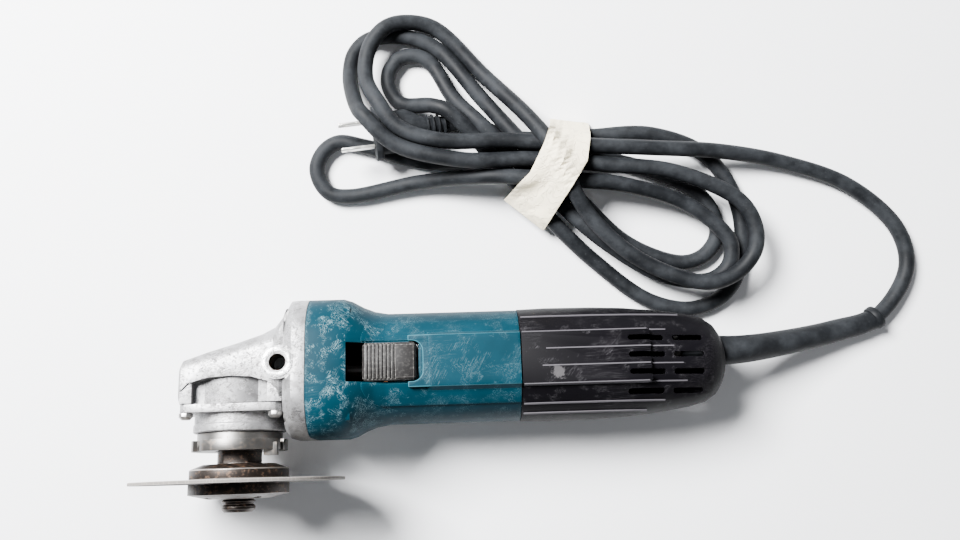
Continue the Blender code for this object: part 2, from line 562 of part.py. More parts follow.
# ---------------------------------------------------------------- wheel end
def spindle(axis, steel):
    nut_end = wheel_stack()["nut"][1]
    end = nut_end + SPINDLE_TAIL
    seat_end = SPINDLE_BEARING_AT + SPINDLE_BEARING[2] + 0.2 * MM
    profile = [(-ROOF_POCKET + FIT, 0), (-ROOF_POCKET + FIT, 4 * MM), (2 * MM, 4 * MM),
               (2.6 * MM, SPINDLE_R - FIT), (seat_end, SPINDLE_R - FIT),
               (seat_end, 7.6 * MM), (30 * MM, 7.6 * MM),
               (30 * MM, HUB_R), (HUB_END, HUB_R), (HUB_END, THREAD_R), (nut_end - MM, THREAD_R)]
    turns = int((end - nut_end) / THREAD_PITCH)
    for i in range(turns):
        at = nut_end - MM + THREAD_PITCH * i
        profile += [(at + 0.5 * THREAD_PITCH, THREAD_R - 1.1 * MM), (at + THREAD_PITCH, THREAD_R)]
    profile += [(end - 1.4 * MM, THREAD_R), (end, THREAD_R - 1.4 * MM), (end, 0)]
    body = lathe("spindle", profile, steel, axis, SPINDLE, 20)
    for side in (-1, 1):
        low, high = sorted((side * (HUB_R - 1.6 * MM), side * (HUB_R + MM)))
        cut(body, box("flat", (-12 * MM, -HUB_END + 0.2 * MM, low),
                      (12 * MM, -HUB_END + 6 * MM, high), steel, axis))
    return body


def wheel_stack():
    """Where each clamped piece starts and ends along the spindle."""
    flange = (HUB_END + GAP, HUB_END + GAP + FLANGE_LENGTH)
    wheel = (flange[1] + GAP, flange[1] + GAP + WHEEL_THICKNESS)
    nut = (wheel[1] + GAP, wheel[1] + GAP + NUT_LENGTH)
    return {"flange": flange, "wheel": wheel, "nut": nut}


def inner_flange(axis, steel):
    start, end = wheel_stack()["flange"]
    bore = THREAD_R + FIT
    pilot = WHEEL_BORE_R - FIT
    profile = [(start, bore), (start, FLANGE_R - 6 * MM), (start + 2.3 * MM, FLANGE_R), (end, FLANGE_R),
               (end, pilot), (end + WHEEL_THICKNESS, pilot), (end + WHEEL_THICKNESS, bore)]
    return lathe("inner_flange", profile, steel, axis, SPINDLE, 32)


def cutting_disc(axis, abrasive):
    start, end = wheel_stack()["wheel"]
    profile = [(start, WHEEL_BORE_R), (start, WHEEL_R), (end, WHEEL_R), (end, WHEEL_BORE_R)]
    return lathe("cutting_disc", profile, abrasive, axis, SPINDLE, 48)


def lock_nut(axis, steel):
    start, end = wheel_stack()["nut"]
    bore = THREAD_R + FIT
    profile = [(start, bore), (start, NUT_R), (end - 2.0 * MM, NUT_R), (end, NUT_R - 9 * MM), (end, bore)]
    body = lathe("lock_nut", profile, steel, axis, SPINDLE, 32)
    for turn in range(4):
        angle = math.radians(45 + 90 * turn)
        at = (15.5 * MM * math.cos(angle), 15.5 * MM * math.sin(angle))
        cut(body, rod("pin_hole", end - 4.5 * MM, end + MM, 2.4 * MM, steel, axis, SPINDLE, 10, at))
    return body


# ---------------------------------------------------------------- gears
def bevel_ring(teeth, mate, phase):
    """Points round the large end of a straight bevel gear: (across, across, along) from the apex."""
    pitch_r, along = MODULE * teeth / 2, MODULE * mate / 2
    cone = math.atan2(pitch_r, along)
    addendum, dedendum = 0.95 * MODULE, 1.25 * MODULE
    points = []
    for tooth in range(teeth):
        middle = math.tau * (tooth + phase) / teeth
        for depth, half in ((-dedendum, -0.31), (addendum, -0.10), (addendum, 0.10), (-dedendum, 0.31)):
            r = pitch_r + depth * math.cos(cone)
            angle = middle + half * math.tau / teeth
            points.append((r * math.cos(angle), r * math.sin(angle), along - depth * math.sin(cone)))
    return points


def bevel(name, teeth, mate, phase, front, back, bore, surface, axis, place):
    """A bevel gear: toothed cone between its two ends, closed by rings towards a round bore.

    front and back are (along, radius) points from the teeth in to the bore, on either face.
    """
    cone_length = math.hypot(MODULE * teeth / 2, MODULE * mate / 2)
    small = 1 - TOOTH_FACE / cone_length
    large_ring = bevel_ring(teeth, mate, phase)
    bm = bmesh.new()

    def circle(along, radius):
        """One point for each tooth, in line with its middle."""
        turns = [math.tau * (tooth + phase) / teeth for tooth in range(teeth)]
        return [bm.verts.new((radius * math.cos(turn), radius * math.sin(turn), along)) for turn in turns]

    def skin(one, two):
        for i, vert in enumerate(one):
            k = (i + 1) % len(one)
            bm.faces.new((vert, one[k], two[k], two[i]))

    def close_teeth(ring, inner):
        """The end face of every tooth, and the root line down to a ring of one point a tooth."""
        for tooth in range(teeth):
            a, b, c, d = ring[4 * tooth:4 * tooth + 4]
            after = ring[(4 * tooth + 4) % len(ring)]
            bm.faces.new((a, b, c, d))
            bm.faces.new((a, d, inner[tooth]))
            bm.faces.new((d, after, inner[(tooth + 1) % teeth], inner[tooth]))

    large = [bm.verts.new(point) for point in large_ring]
    little = [bm.verts.new([small * c for c in point]) for point in large_ring]
    skin(little, large)
    front_loops = [circle(a, r) for a, r in front]
    back_loops = [circle(a, r) for a, r in back]
    close_teeth(little, front_loops[0])
    close_teeth(large, back_loops[0])
    for loops in (front_loops, back_loops):
        for one, two in zip(loops, loops[1:]):
            skin(one, two)
    skin(front_loops[-1], back_loops[-1])
    return finish(bm, name, surface, axis, place)


def bevel_gear(axis, steel):
    bore = SPINDLE_R
    web = 6.4 * MM
    front = [(web, 14.6 * MM), (web, bore)]
    back = [(11.8 * MM, 18.2 * MM), (11.8 * MM, 9.0 * MM),
            (SPINDLE_BEARING_AT - GAP, 8.4 * MM), (SPINDLE_BEARING_AT - GAP, bore)]
    body = bevel("bevel_gear", GEAR_TEETH, PINION_TEETH, 0.0, front, back, bore, steel, axis, SPINDLE)
    for turn in range(4):
        angle = math.radians(90 * turn)
        at = (LOCK_X * math.cos(angle), LOCK_X * math.sin(angle))
        cut(body, rod("lock_hole", 0, 20 * MM, LOCK_PIN_R + 2 * GAP, steel, axis, SPINDLE, 8, at))
    return body


def pinion(axis, steel):
    bore = 3.0 * MM + FIT
    front = [(15.6 * MM, bore)]
    back = [(22.4 * MM, 5.0 * MM), (FRONT_BEARING_AT - GAP, 5.0 * MM), (FRONT_BEARING_AT - GAP, bore)]
    return bevel("pinion", PINION_TEETH, GEAR_TEETH, 0.5, front, back, bore, steel, axis, MOTOR)


# ---------------------------------------------------------------- bearings
def bearing(prefix, size, start, outer_axis, inner_axis, cage_axis, place, steel, brass, steps=16):
    bore, outer, width, ball, count = size
    middle, centre = start + width / 2, (bore + outer) / 2
    groove = ball * 1.12 + FIT
    land = 0.5 * ball
    reach = math.sqrt(groove ** 2 - land ** 2)
    dip = [(-reach, land), (-0.55 * groove, 0.92 * groove), (0.55 * groove, 0.92 * groove), (reach, land)]
    low, high = middle - width / 2, middle + width / 2
    ring = [(low, outer), (high, outer), (high, centre + land)]
    ring += [(middle + a, centre + r) for a, r in reversed(dip)] + [(low, centre + land)]
    lathe(prefix + "_outer", ring, steel, outer_axis, place, steps)
    ring = [(low, bore), (high, bore), (high, centre - land)]
    ring += [(middle + a, centre - r) for a, r in reversed(dip)] + [(low, centre - land)]
    lathe(prefix + "_inner", ring, steel, inner_axis, place, steps)
    half, wall = 0.3 * ball, 0.4 * MM
    cage = [(middle - half, centre - wall), (middle + half, centre - wall),
            (middle + half, centre + wall), (middle - half, centre + wall)]
    body = lathe(prefix + "_balls", cage, brass, cage_axis, place, steps)
    for i in range(count):
        angle = math.tau * i / count
        bm = bmesh.new()
        bmesh.ops.create_uvsphere(bm, u_segments=6, v_segments=4, radius=ball)
        at = Matrix.Translation((centre * math.cos(angle), centre * math.sin(angle), middle))
        join(body, finish(bm, "ball", steel, cage_axis, place @ at))


# ---------------------------------------------------------------- motor
def fan(axis, plastic):
    end = FAN_AT + FAN_LENGTH
    disc = end - 1.6 * MM
    bore = SHAFT_R + FIT
    profile = [(FAN_AT + MM, bore), (FAN_AT + MM, 8 * MM), (disc, 9 * MM), (disc, FAN_R), (end, FAN_R),
               (end, bore)]
    body = lathe("cooling_fan", profile, plastic, axis, MOTOR, 20)
    for i in range(10):
        turn = MOTOR @ Matrix.Rotation(math.tau * i / 10, 4, "Z")
        outline = [(12 * MM, -0.7 * MM), (FAN_R - MM, -0.7 * MM), (FAN_R - MM, 0.7 * MM), (12 * MM, 0.7 * MM)]
        join(body, prism("blade", outline, FAN_AT, disc + 0.5 * MM, plastic, axis, turn))


def armature_core(axis, iron):
    half = CORE_SLOT_WIDTH / 2
    edge = math.asin(half / CORE_R)
    outline = []
    for i in range(SLOTS):
        middle = math.tau * i / SLOTS
        x, y = math.cos(middle), math.sin(middle)
        outline.append((CORE_R * math.cos(middle - edge), CORE_R * math.sin(middle - edge)))
        outline.append((CORE_SLOT_FLOOR * x + half * y, CORE_SLOT_FLOOR * y - half * x))
        outline.append((CORE_SLOT_FLOOR * x - half * y, CORE_SLOT_FLOOR * y + half * x))
        outline.append((CORE_R * math.cos(middle + edge), CORE_R * math.sin(middle + edge)))
        tooth = middle + math.pi / SLOTS
        outline.append((CORE_R * math.cos(tooth), CORE_R * math.sin(tooth)))
    body = prism("armature_core", outline, CORE_AT, CORE_AT + CORE_LENGTH, iron, axis, MOTOR)
    cut(body, rod("bore", CORE_AT - MM, CORE_AT + CORE_LENGTH + MM, 5 * MM + FIT, iron, axis, MOTOR, 16))


def armature_winding(axis, copper):
    """Twelve bars of wire in the core's slots, and the bundle of end turns at either end."""
    front, rear = CORE_AT - GAP, CORE_AT + CORE_LENGTH + GAP
    reach = 7.5 * MM
    inner = 6 * MM
    top = CORE_R - 0.8 * MM
    rounds = []
    for face, way in ((front, -1), (rear, 1)):
        rounds.append([(face, inner), (face, top), (face + way * 0.6 * reach, top),
                       (face + way * reach, top - 2 * MM), (face + way * reach, inner)])
    body = lathe("armature_winding", rounds[0], copper, axis, MOTOR, 16)
    for i in range(SLOTS):
        turn = MOTOR @ Matrix.Rotation(math.tau * i / SLOTS, 4, "Z")
        low, high, half = 9.4 * MM, top - 0.8 * MM, 1.4 * MM
        outline = [(low, -half), (high, -half), (high, half), (low, half)]
        join(body, prism("bar", outline, front - 2 * MM, rear + 2 * MM, copper, axis, turn))
    join(body, lathe("turns", rounds[1], copper, axis, MOTOR, 16))


def armature(axis, steel, iron, copper, plastic):
    end = REAR_BEARING_AT + REAR_BEARING[2] + 0.4 * MM
    seat = FRONT_BEARING_AT + FRONT_BEARING[2] + 0.2 * MM
    profile = [(15.2 * MM, 0), (15.2 * MM, 3 * MM), (FRONT_BEARING_AT - GAP, 3 * MM),
               (FRONT_BEARING_AT - GAP, FRONT_BEARING[0] - FIT), (seat, FRONT_BEARING[0] - FIT),
               (seat, SHAFT_R), (CORE_AT - 10 * MM, SHAFT_R), (CORE_AT - 10 * MM, 5 * MM),
               (CORE_AT + CORE_LENGTH + 10 * MM, 5 * MM), (CORE_AT + CORE_LENGTH + 10 * MM, SHAFT_R),
               (REAR_BEARING_AT - 1.5 * MM, SHAFT_R), (REAR_BEARING_AT - 1.5 * MM, REAR_BEARING[0] - FIT),
               (end, REAR_BEARING[0] - FIT), (end, 0)]
    lathe("armature_shaft", profile, steel, axis, MOTOR, 16)
    armature_core(axis, iron)
    armature_winding(axis, copper)
    start, stop = COMMUTATOR_AT, COMMUTATOR_AT + COMMUTATOR_LENGTH
    riser, riser_r = start + 2 * MM, COMMUTATOR_R + 1.4 * MM
    profile = [(start, SHAFT_R + FIT), (start, riser_r), (riser, riser_r), (riser, COMMUTATOR_R),
               (stop, COMMUTATOR_R), (stop, SHAFT_R + FIT)]
    lathe("commutator", profile, copper, axis, MOTOR, 18)
    fan(axis, plastic)


def field_core(tool, iron):
    """Laminated stator: two poles above and below the armature, flats towards the switch side."""
    outer = []
    flat = math.acos(FIELD_FLAT / FIELD_R)
    for quarter in (1, -1):
        start, stop = -math.pi / 2 + flat, math.pi / 2 - flat
        for i in range(9):
            angle = start + (stop - start) * i / 8
            outer.append((quarter * FIELD_R * math.cos(angle), quarter * FIELD_R * math.sin(angle)))
    body = prism("field_core", outer, CORE_AT - MM, CORE_AT + CORE_LENGTH + MM, iron, tool, MOTOR)
    inner = []
    pole, slot = math.radians(56), 19.4 * MM
    for side in (0, math.pi):
        for i in range(7):
            angle = side - pole + 2 * pole * i / 6
            inner.append((FIELD_BORE_R * math.cos(angle), FIELD_BORE_R * math.sin(angle)))
        for share in (0, 0.25, 0.5, 0.75, 1):
            angle = side + pole + (math.pi - 2 * pole) * share
            inner.append((slot * math.cos(angle), slot * math.sin(angle)))
    cut(body, prism("bore", inner, CORE_AT - 5 * MM, CORE_AT + CORE_LENGTH + 5 * MM, iron, tool, MOTOR))
    return body


def field_coil(name, side, tool, copper):
    """A flat loop of wire round one pole, bent to the bore."""
    low, high = CORE_AT - 5.5 * MM, CORE_AT + CORE_LENGTH + 5.5 * MM
    inside_low, inside_high = CORE_AT - MM - GAP, CORE_AT + CORE_LENGTH + MM + GAP
    r0, r1 = FIELD_BORE_R + GAP, 18.7 * MM
    wide, narrow = math.radians(76), math.radians(60)
    steps = 8
    bm = bmesh.new()

    def arc(radius, along, reach):
        return [bm.verts.new((radius * math.cos(side + reach * (2 * i / steps - 1)),
                              radius * math.sin(side + reach * (2 * i / steps - 1)), along))
                for i in range(steps + 1)]

    grid = {}
    for key, radius in (("in", r0), ("out", r1)):
        grid[key] = [arc(radius, low, wide), arc(radius, inside_low, narrow),
                     arc(radius, inside_high, narrow), arc(radius, high, wide)]

    def loop_of(rows, near, far):
        """A closed loop: along the near arc, then back along the far one."""
        return rows[near] + rows[far][::-1]

    outer_in, outer_out = loop_of(grid["in"], 0, 3), loop_of(grid["out"], 0, 3)
    inner_in, inner_out = loop_of(grid["in"], 1, 2), loop_of(grid["out"], 1, 2)
    loops = (outer_in, outer_out, inner_out, inner_in, outer_in)
    for one, two in zip(loops, loops[1:]):
        for i, vert in enumerate(one):
            k = (i + 1) % len(one)
            bm.faces.new((vert, one[k], two[k], two[i]))
    return finish(bm, name, copper, tool, MOTOR)


def brush_gear(tool, brass, carbon):
    along, across, length = BRUSH
    middle = COMMUTATOR_AT + 2 * MM + (COMMUTATOR_LENGTH - 2 * MM) / 2
    for index, side in enumerate((-1, 1), 1):
        near, far = COMMUTATOR_R + 0.8 * MM, COMMUTATOR_R + 11.6 * MM
        wall = 1.2 * MM
        low, high = sorted((side * near, side * far))
        holder = box(f"brush_holder_{index}",
                     (middle - along / 2 - wall, low, -across / 2 - wall),
                     (middle + along / 2 + wall, high, across / 2 + wall), brass, tool)
        low, high = sorted((side * (near - MM), side * (far - wall)))
        cut(holder, box("slot", (middle - along / 2 - GAP, low, -across / 2 - GAP),
                        (middle + along / 2 + GAP, high, across / 2 + GAP), brass, tool))
        low, high = sorted((side * (COMMUTATOR_R + GAP), side * (COMMUTATOR_R + GAP + length)))
        box(f"carbon_brush_{index}", (middle - along / 2, low, -across / 2),
            (middle + along / 2, high, across / 2), carbon, tool)


# ---------------------------------------------------------------- switch and lock
def slide_switch(slide, tool, plastic):
    knob = box("slide_knob", (KNOB[0], -KNOB_HALF, KNOB_BOTTOM),
               (KNOB[1], KNOB_HALF, KNOB_TOP), plastic, slide,
               1.2 * MM)
    pitch = 1.75 * MM
    for i in range(KNOB_RIDGES):
        at = KNOB[0] + 2.2 * MM + pitch * i
        cut(knob, box("groove", (at, -KNOB_HALF - MM, KNOB_TOP - 0.7 * MM),
                      (at + 0.45 * pitch, KNOB_HALF + MM, KNOB_TOP + MM), plastic, slide))
    switch_front = REAR_BEARING_AT + REAR_BEARING[2] + 6 * MM
    bar = box("switch_rod", (KNOB[0] + 4 * MM, -ROD_HALF, ROD_BOTTOM),
              (switch_front + 9 * MM, ROD_HALF, ROD_TOP),
              plastic, slide)
    join(bar, box("finger", (switch_front + 6.8 * MM, -ROD_HALF, 19.6 * MM),
                  (switch_front + 9 * MM, ROD_HALF, ROD_TOP), plastic, slide))
    box("switch_body", (switch_front, -8 * MM, 3 * MM),
        (switch_front + 27 * MM, 8 * MM, 19 * MM), plastic, tool,
        1 * MM)


def spindle_lock(button, tool, steel, plastic, spring_steel):
    """Cap, pin and spring. The button's empty sits on the pin's axis, on the motor axis's level."""
    cap_bottom = -LOCK_CAP_TOP + LOCK_CAP_HEIGHT
    bm = bmesh.new()
    made = bmesh.ops.create_cone(bm, cap_ends=True, segments=20, radius1=LOCK_CAP_R, radius2=LOCK_CAP_R,
                                 depth=LOCK_CAP_HEIGHT)
    for vert in made["verts"]:
        vert.co.z += cap_bottom - LOCK_CAP_HEIGHT / 2
        if vert.co.z < cap_bottom - MM:
            vert.co.z -= vert.co.x * LOCK_SLOPE
    cap = finish(bm, "lock_cap", plastic, button, SPINDLE)
    pin_top = cap_bottom - 2 * MM
    cut(cap, rod("socket", pin_top - GAP, 0, LOCK_PIN_R + FIT, plastic, button, SPINDLE, 8))
    rod("lock_pin", pin_top, LOCK_TIP, LOCK_PIN_R, steel, button, SPINDLE, 8)
    turns, per_turn, wire = 3.5, 8, 0.35 * MM
    start, end = cap_bottom + GAP + wire, -LOCK_SPRING_END - GAP - wire
    radius = LOCK_PIN_R + 0.75 * MM
    points = []
    for i in range(int(turns * per_turn) + 1):
        angle = math.tau * i / per_turn
        along = start + (end - start) * i / (turns * per_turn)
        points.append((radius * math.cos(angle), -along, radius * math.sin(angle)))
    spring = tube("lock_spring", points, wire, spring_steel, tool, 1)
    spring.location.x = LOCK_X


def tube(name, points, radius, surface, parent, resolution=2):
    """A round tube through the points, with closed ends."""
    curve = bpy.data.curves.new(name, "CURVE")
    curve.dimensions = "3D"
    curve.bevel_depth = radius
    curve.bevel_resolution = resolution
    curve.use_fill_caps = True
    line = curve.splines.new("POLY")
    line.points.add(len(points) - 1)
    for target, point in zip(line.points, points):
        target.co = (*point, 1)
    curve.materials.append(surface)
    made = bpy.data.objects.new(name, curve)
    bpy.context.scene.collection.objects.link(made)
    made.parent = parent
    return made


# ---------------------------------------------------------------- fasteners
def screw(name, head, tip, surface, parent, place, at,
          head_r=SCREW_HEAD_R, shank_r=SCREW_R, thick=3 * MM):
    """A cap screw along the lathe axis, whose shank starts at head and ends at tip."""
    way = 1 if tip > head else -1
    profile = [(head - way * thick, 0), (head - way * thick, 0.6 * head_r),
               (head - way * 0.55 * thick, head_r), (head, head_r), (head, shank_r),
               (tip - way * 0.8 * MM, shank_r), (tip, shank_r - 0.8 * MM), (tip, 0)]
    place = place @ Matrix.Translation((at[0], at[1], 0))
    return lathe(name, profile, surface, parent, place, 10)


def fasteners(tool, steel):
    number = 0
    for a in (-1, 1):
        for b in (-1, 1):
            number += 1
            at = (a * SCREW_AT, b * SCREW_AT)
            screw(f"housing_screw_{number}", BELL_START - 7 * MM - GAP, BELL_START + 14 * MM,
                  steel, tool, MOTOR, at)
            at = (a * BOX_SCREW_AT, b * BOX_SCREW_AT)
            screw(f"bearing_box_screw_{number}", HEAD_BOTTOM + BOX_FLANGE + 2 * GAP, 8 * MM,
                  steel, tool, SPINDLE, at, 3.3 * MM)


def cord_clamp(tool, plastic, steel):
    """The bar that pins the lead down inside the rear cover, with its two screws."""
    at = BARREL_END + CLAMP_AT
    low, high = LEAD_R + GAP, LEAD_R + 3.3 * MM
    bar = box("cord_clamp", (at - 3.2 * MM, EXIT_UP - 9.2 * MM, low),
              (at + 3.2 * MM, EXIT_UP + 9.2 * MM, high), plastic, tool, 0.6 * MM)
    for index, side in enumerate((-1, 1), 1):
        place = (at, EXIT_UP + side * CLAMP_SCREW_AT)
        cut(bar, rod("bore", 0, 20 * MM, CLAMP_SCREW_R + FIT, plastic, tool, UPRIGHT, 10, place))
        screw(f"cord_clamp_screw_{index}", high + GAP, -11 * MM,
              steel, tool, UPRIGHT, place, 2.2 * MM, CLAMP_SCREW_R)


# ---------------------------------------------------------------- mains lead
def smooth(points):
    """A smooth curve through the points, with no overshoot where their spacing changes."""
    ends = [2 * points[0] - points[1]] + list(points) + [2 * points[-1] - points[-2]]
    line = []
    for before, start, end, after in zip(ends, ends[1:], ends[2:], ends[3:]):
        knots = [0.0]
        for one, two in ((before, start), (start, end), (end, after)):
            knots.append(knots[-1] + math.sqrt((two - one).length))
        k0, k1, k2, k3 = knots
        for step in range(PER_SPAN):
            k = k1 + (k2 - k1) * step / PER_SPAN
            first = before.lerp(start, (k - k0) / (k1 - k0))
            second = start.lerp(end, (k - k1) / (k2 - k1))
            third = end.lerp(after, (k - k2) / (k3 - k2))
            rise = first.lerp(second, (k - k0) / (k2 - k0))
            fall = second.lerp(third, (k - k1) / (k3 - k1))
            line.append(rise.lerp(fall, (k - k1) / (k2 - k1)))
    return line + [points[-1].copy()]


def thin_out(line, turn, reach):
    """Keep a point of the line wherever it has turned or gone on far enough since the last.

    Both end stretches stay as they are, so that the ends stay square to the line.
    """
    kept, turned = line[:2], 0.0
    for i in range(2, len(line) - 2):
        turned += (line[i] - line[i - 1]).angle(line[i + 1] - line[i])
        if turned > turn or (line[i] - kept[-1]).length > reach:
            kept.append(line[i])
            turned = 0.0
    return kept + line[-2:]


def shorten(line, by):
    """Draw the first point of the line in by a small gap."""
    return [line[0] + (line[1] - line[0]).normalized() * by] + line[1:]


def sweep(name, centres, radii, surface, steps=12):
    """A solid with a round section of its own radius at each centre."""
    rings = []
    for i, centre in enumerate(centres):
        ahead = (centres[min(i + 1, len(centres) - 1)] - centres[max(i - 1, 0)]).normalized()
        side = ahead.cross(Vector((0, 0, 1))).normalized()
        up = side.cross(ahead)
        turns = [math.tau * k / steps for k in range(steps)]
        rings.append([centre + radii[i] * (math.cos(turn) * side + math.sin(turn) * up) for turn in turns])
    return loft(name, rings, surface, None)


def lead_and_guard(tool, rubber, surface):
    """The tapered guard from the rear cover down to the floor, and the free lead from its tip."""
    end = BARREL_END + REAR_LENGTH
    flange_front, flange_rear = end - GUARD_FLANGE[0], end - GUARD_FLANGE[1]
    rod("cord_tail", BARREL_END + CLAMP_AT - 7 * MM, flange_front - GAP, LEAD_R,
        surface, tool, MOTOR, 12, (EXIT_UP, 0))
    straight = [tool.matrix_world @ Vector((x, EXIT_UP, 0)) for x in (end - 4 * MM, end + 9 * MM)]
    route = [MM * Vector(point) for point in GUARD_ROUTE]
    free = [MM * Vector(point) for point in LEAD_ROUTE] + [Vector(PLUG_ENTRY)]
    line = smooth(straight + route + free)
    split = (len(straight) + len(route) - 1) * PER_SPAN
    guard, lead = line[:split + 1], line[split:]
    inside = [tool.matrix_world @ Vector((x, EXIT_UP, 0)) for x in (flange_front, flange_rear, flange_rear)]
    inside[2] += (inside[1] - inside[0]).normalized() * 0.2 * MM
    tip = guard[-1]
    back = (guard[-2] - tip).normalized()
    taper = [point for point in thin_out(guard, math.radians(7), 9 * MM) if (point - tip).length > 6 * MM]
    bead = [tip + back * 4 * MM, tip + back * 3.2 * MM, tip]
    radii = [GUARD_FLANGE_R, GUARD_FLANGE_R, GUARD_R]
    radii += [float(r) for r in np.linspace(GUARD_R, GUARD_TIP_R, len(taper))]
    radii += [GUARD_TIP_R, GUARD_BEAD_R, GUARD_BEAD_R]
    centres = inside + taper + bead
    sweep("cord_guard", centres, radii, rubber)
    lead = [Vector((x, y, max(z, LEAD_R + 0.1 * MM))) for x, y, z in lead]
    lead = shorten(shorten(lead, GAP)[::-1], GAP)[::-1]
    lead = thin_out(lead, math.radians(24), 30 * MM)
    tube("power_cord", lead, LEAD_R, surface, None)
    return lead


def plug(rubber, brass):
    """Two-blade plug, lying tilted on a turn of its own lead. Its x runs from the lead to the blades."""
    entry, face = Vector(PLUG_ENTRY), Vector(PLUG_FACE)
    ahead = (face - entry).normalized()
    across = Vector((0, 0, 1)).cross(ahead).normalized()
    frame = Matrix((ahead, across, ahead.cross(across))).transposed().to_4x4()
    holder = empty("plug")
    holder.matrix_world = Matrix.Translation(entry) @ frame
    length = (face - entry).length
    shoulder = length - PLUG_FLANGE[2]
    width, thick = PLUG_BODY[0] / 2, PLUG_BODY[1] / 2
    sections = (
        (0, LEAD_R + 1 * MM, LEAD_R + 1 * MM),
        (0.3 * length, LEAD_R + 1.8 * MM, LEAD_R + 1.8 * MM),
        (0.42 * length, width - 2.5 * MM, thick - 0.5 * MM),
        (0.55 * length, width, thick),
        (shoulder - 0.1 * MM, width, thick),
        (shoulder, PLUG_FLANGE[0] / 2 - 0.6 * MM, PLUG_FLANGE[1] / 2 - 0.6 * MM),
        (shoulder + 0.8 * MM, PLUG_FLANGE[0] / 2, PLUG_FLANGE[1] / 2),
        (length, PLUG_FLANGE[0] / 2, PLUG_FLANGE[1] / 2),
    )
    rings = []
    for x, half_width, half_thick in sections:
        corner = 0.98 * min(half_width, half_thick)
        ring = rounded_outline(half_width, half_thick, corner)
        rings.append([(x, a, b) for a, b in ring])
    loft("plug_body", rings, rubber, holder)
    for index, side in enumerate((-1, 1), 1):
        middle = side * BLADE_SPACING / 2
        box(f"plug_blade_{index}", (length + GAP, middle - BLADE[1] / 2, -BLADE[2] / 2),
            (length + GAP + BLADE[0], middle + BLADE[1] / 2, BLADE[2] / 2), brass, holder, 0.3 * MM)


def along_edge(edge, share):
    """The point that lies this share of the way along an edge of three points."""
    shares = (0.0, 0.5, 1.0)
    return Vector([MM * float(np.interp(share, shares, [point[k] for point in edge])) for k in (0, 1)])


def cord_tape(line, paper):
    """The strip of tape over the bundle, pulled straight from one strand that it touches to the next."""
    strands = np.array([tuple(one.lerp(two, step / 24)) for one, two in zip(line, line[1:])
                        for step in range(24)])
    reach = LEAD_R + TAPE_SLACK
    shares = [row / (TAPE_ROWS - 1) for row in range(TAPE_ROWS)]
    columns = []
    for column in range(TAPE_COLUMNS):
        across = column / (TAPE_COLUMNS - 1)
        places = [along_edge(TAPE_LEFT, share).lerp(along_edge(TAPE_RIGHT, share), across)
                  for share in shares]
        heights = []
        for place in places:
            off = np.hypot(strands[:, 0] - place.x, strands[:, 1] - place.y)
            near = off < reach
            tops = strands[near, 2] + np.sqrt(reach ** 2 - off[near] ** 2)
            heights.append(max(tops, default=TAPE_LOW[0]))
        heights[0], heights[-1] = TAPE_LOW
        hull = []
        for point in zip(shares, heights):
            while len(hull) > 1 and cross(hull[-2], hull[-1], point) >= 0:
                hull.pop()
            hull.append(point)
        taut = np.interp(shares, [share for share, _ in hull], [height for _, height in hull])
        columns.append([(place.x, place.y, height) for place, height in zip(places, taut)])
    rings = [column + [(x, y, z + TAPE_THICKNESS) for x, y, z in column[::-1]] for column in columns]
    loft("cord_tape", rings, paper, None)


def cross(one, two, three):
    """Positive where the path through three flat points turns left."""
    return (two[0] - one[0]) * (three[1] - one[1]) - (two[1] - one[1]) * (three[0] - one[0])


# ---------------------------------------------------------------- lying on the floor
def cloud(names):
    """All corners of the named pieces, as the modifiers leave them, in the world."""
    graph = bpy.context.evaluated_depsgraph_get()
    points = []
    for name in names:
        obj = bpy.data.objects[name].evaluated_get(graph)
        mesh = obj.to_mesh()
        points += [obj.matrix_world @ vert.co for vert in mesh.vertices]
        obj.to_mesh_clear()
    return np.array(points)


def lying(pitch, roll):
    return Matrix.Rotation(pitch, 3, "Y") @ Matrix.Rotation(-roll, 3, "X")


def lay_down(tool):
    """Tip the tool until its bell, its rear cover and the rim of its wheel all rest on the floor.

    The box round the tool is then centred over the origin, with its underside at zero.
    """
    bpy.context.view_layer.update()
    rests = [cloud(names) for names in (["motor_housing", "gear_housing"], ["rear_cover"], ["cutting_disc"])]

    def underside(points, pitch, roll):
        return (points @ np.array(lying(pitch, roll)).T)[:, 2].min()

    def balance(one, two, low, high, posed):
        """The angle at which both clouds reach equally low. The first sinks as the angle grows."""
        for _ in range(30):
            middle = (low + high) / 2
            if underside(one, *posed(middle)) > underside(two, *posed(middle)):
                low = middle
            else:
                high = middle
        return middle

    bell, cover, wheel = rests
    pitch = roll = 0.0
    for _ in range(8):
        pitch = balance(cover, bell, 0.0, 0.3, lambda angle: (angle, roll))
        roll = balance(bell, wheel, 0.0, 0.6, lambda angle: (pitch, angle))
    turn = lying(pitch, roll)
    names = [obj.name for obj in bpy.data.objects if obj.type == "MESH"]
    points = cloud(names) @ np.array(turn).T
    low, high = points.min(axis=0), points.max(axis=0)
    shift = Vector((-(low[0] + high[0]) / 2, -(low[1] + high[1]) / 2, -low[2]))
    tool.matrix_world = Matrix.Translation(shift) @ turn.to_4x4()
    bpy.context.view_layer.update()


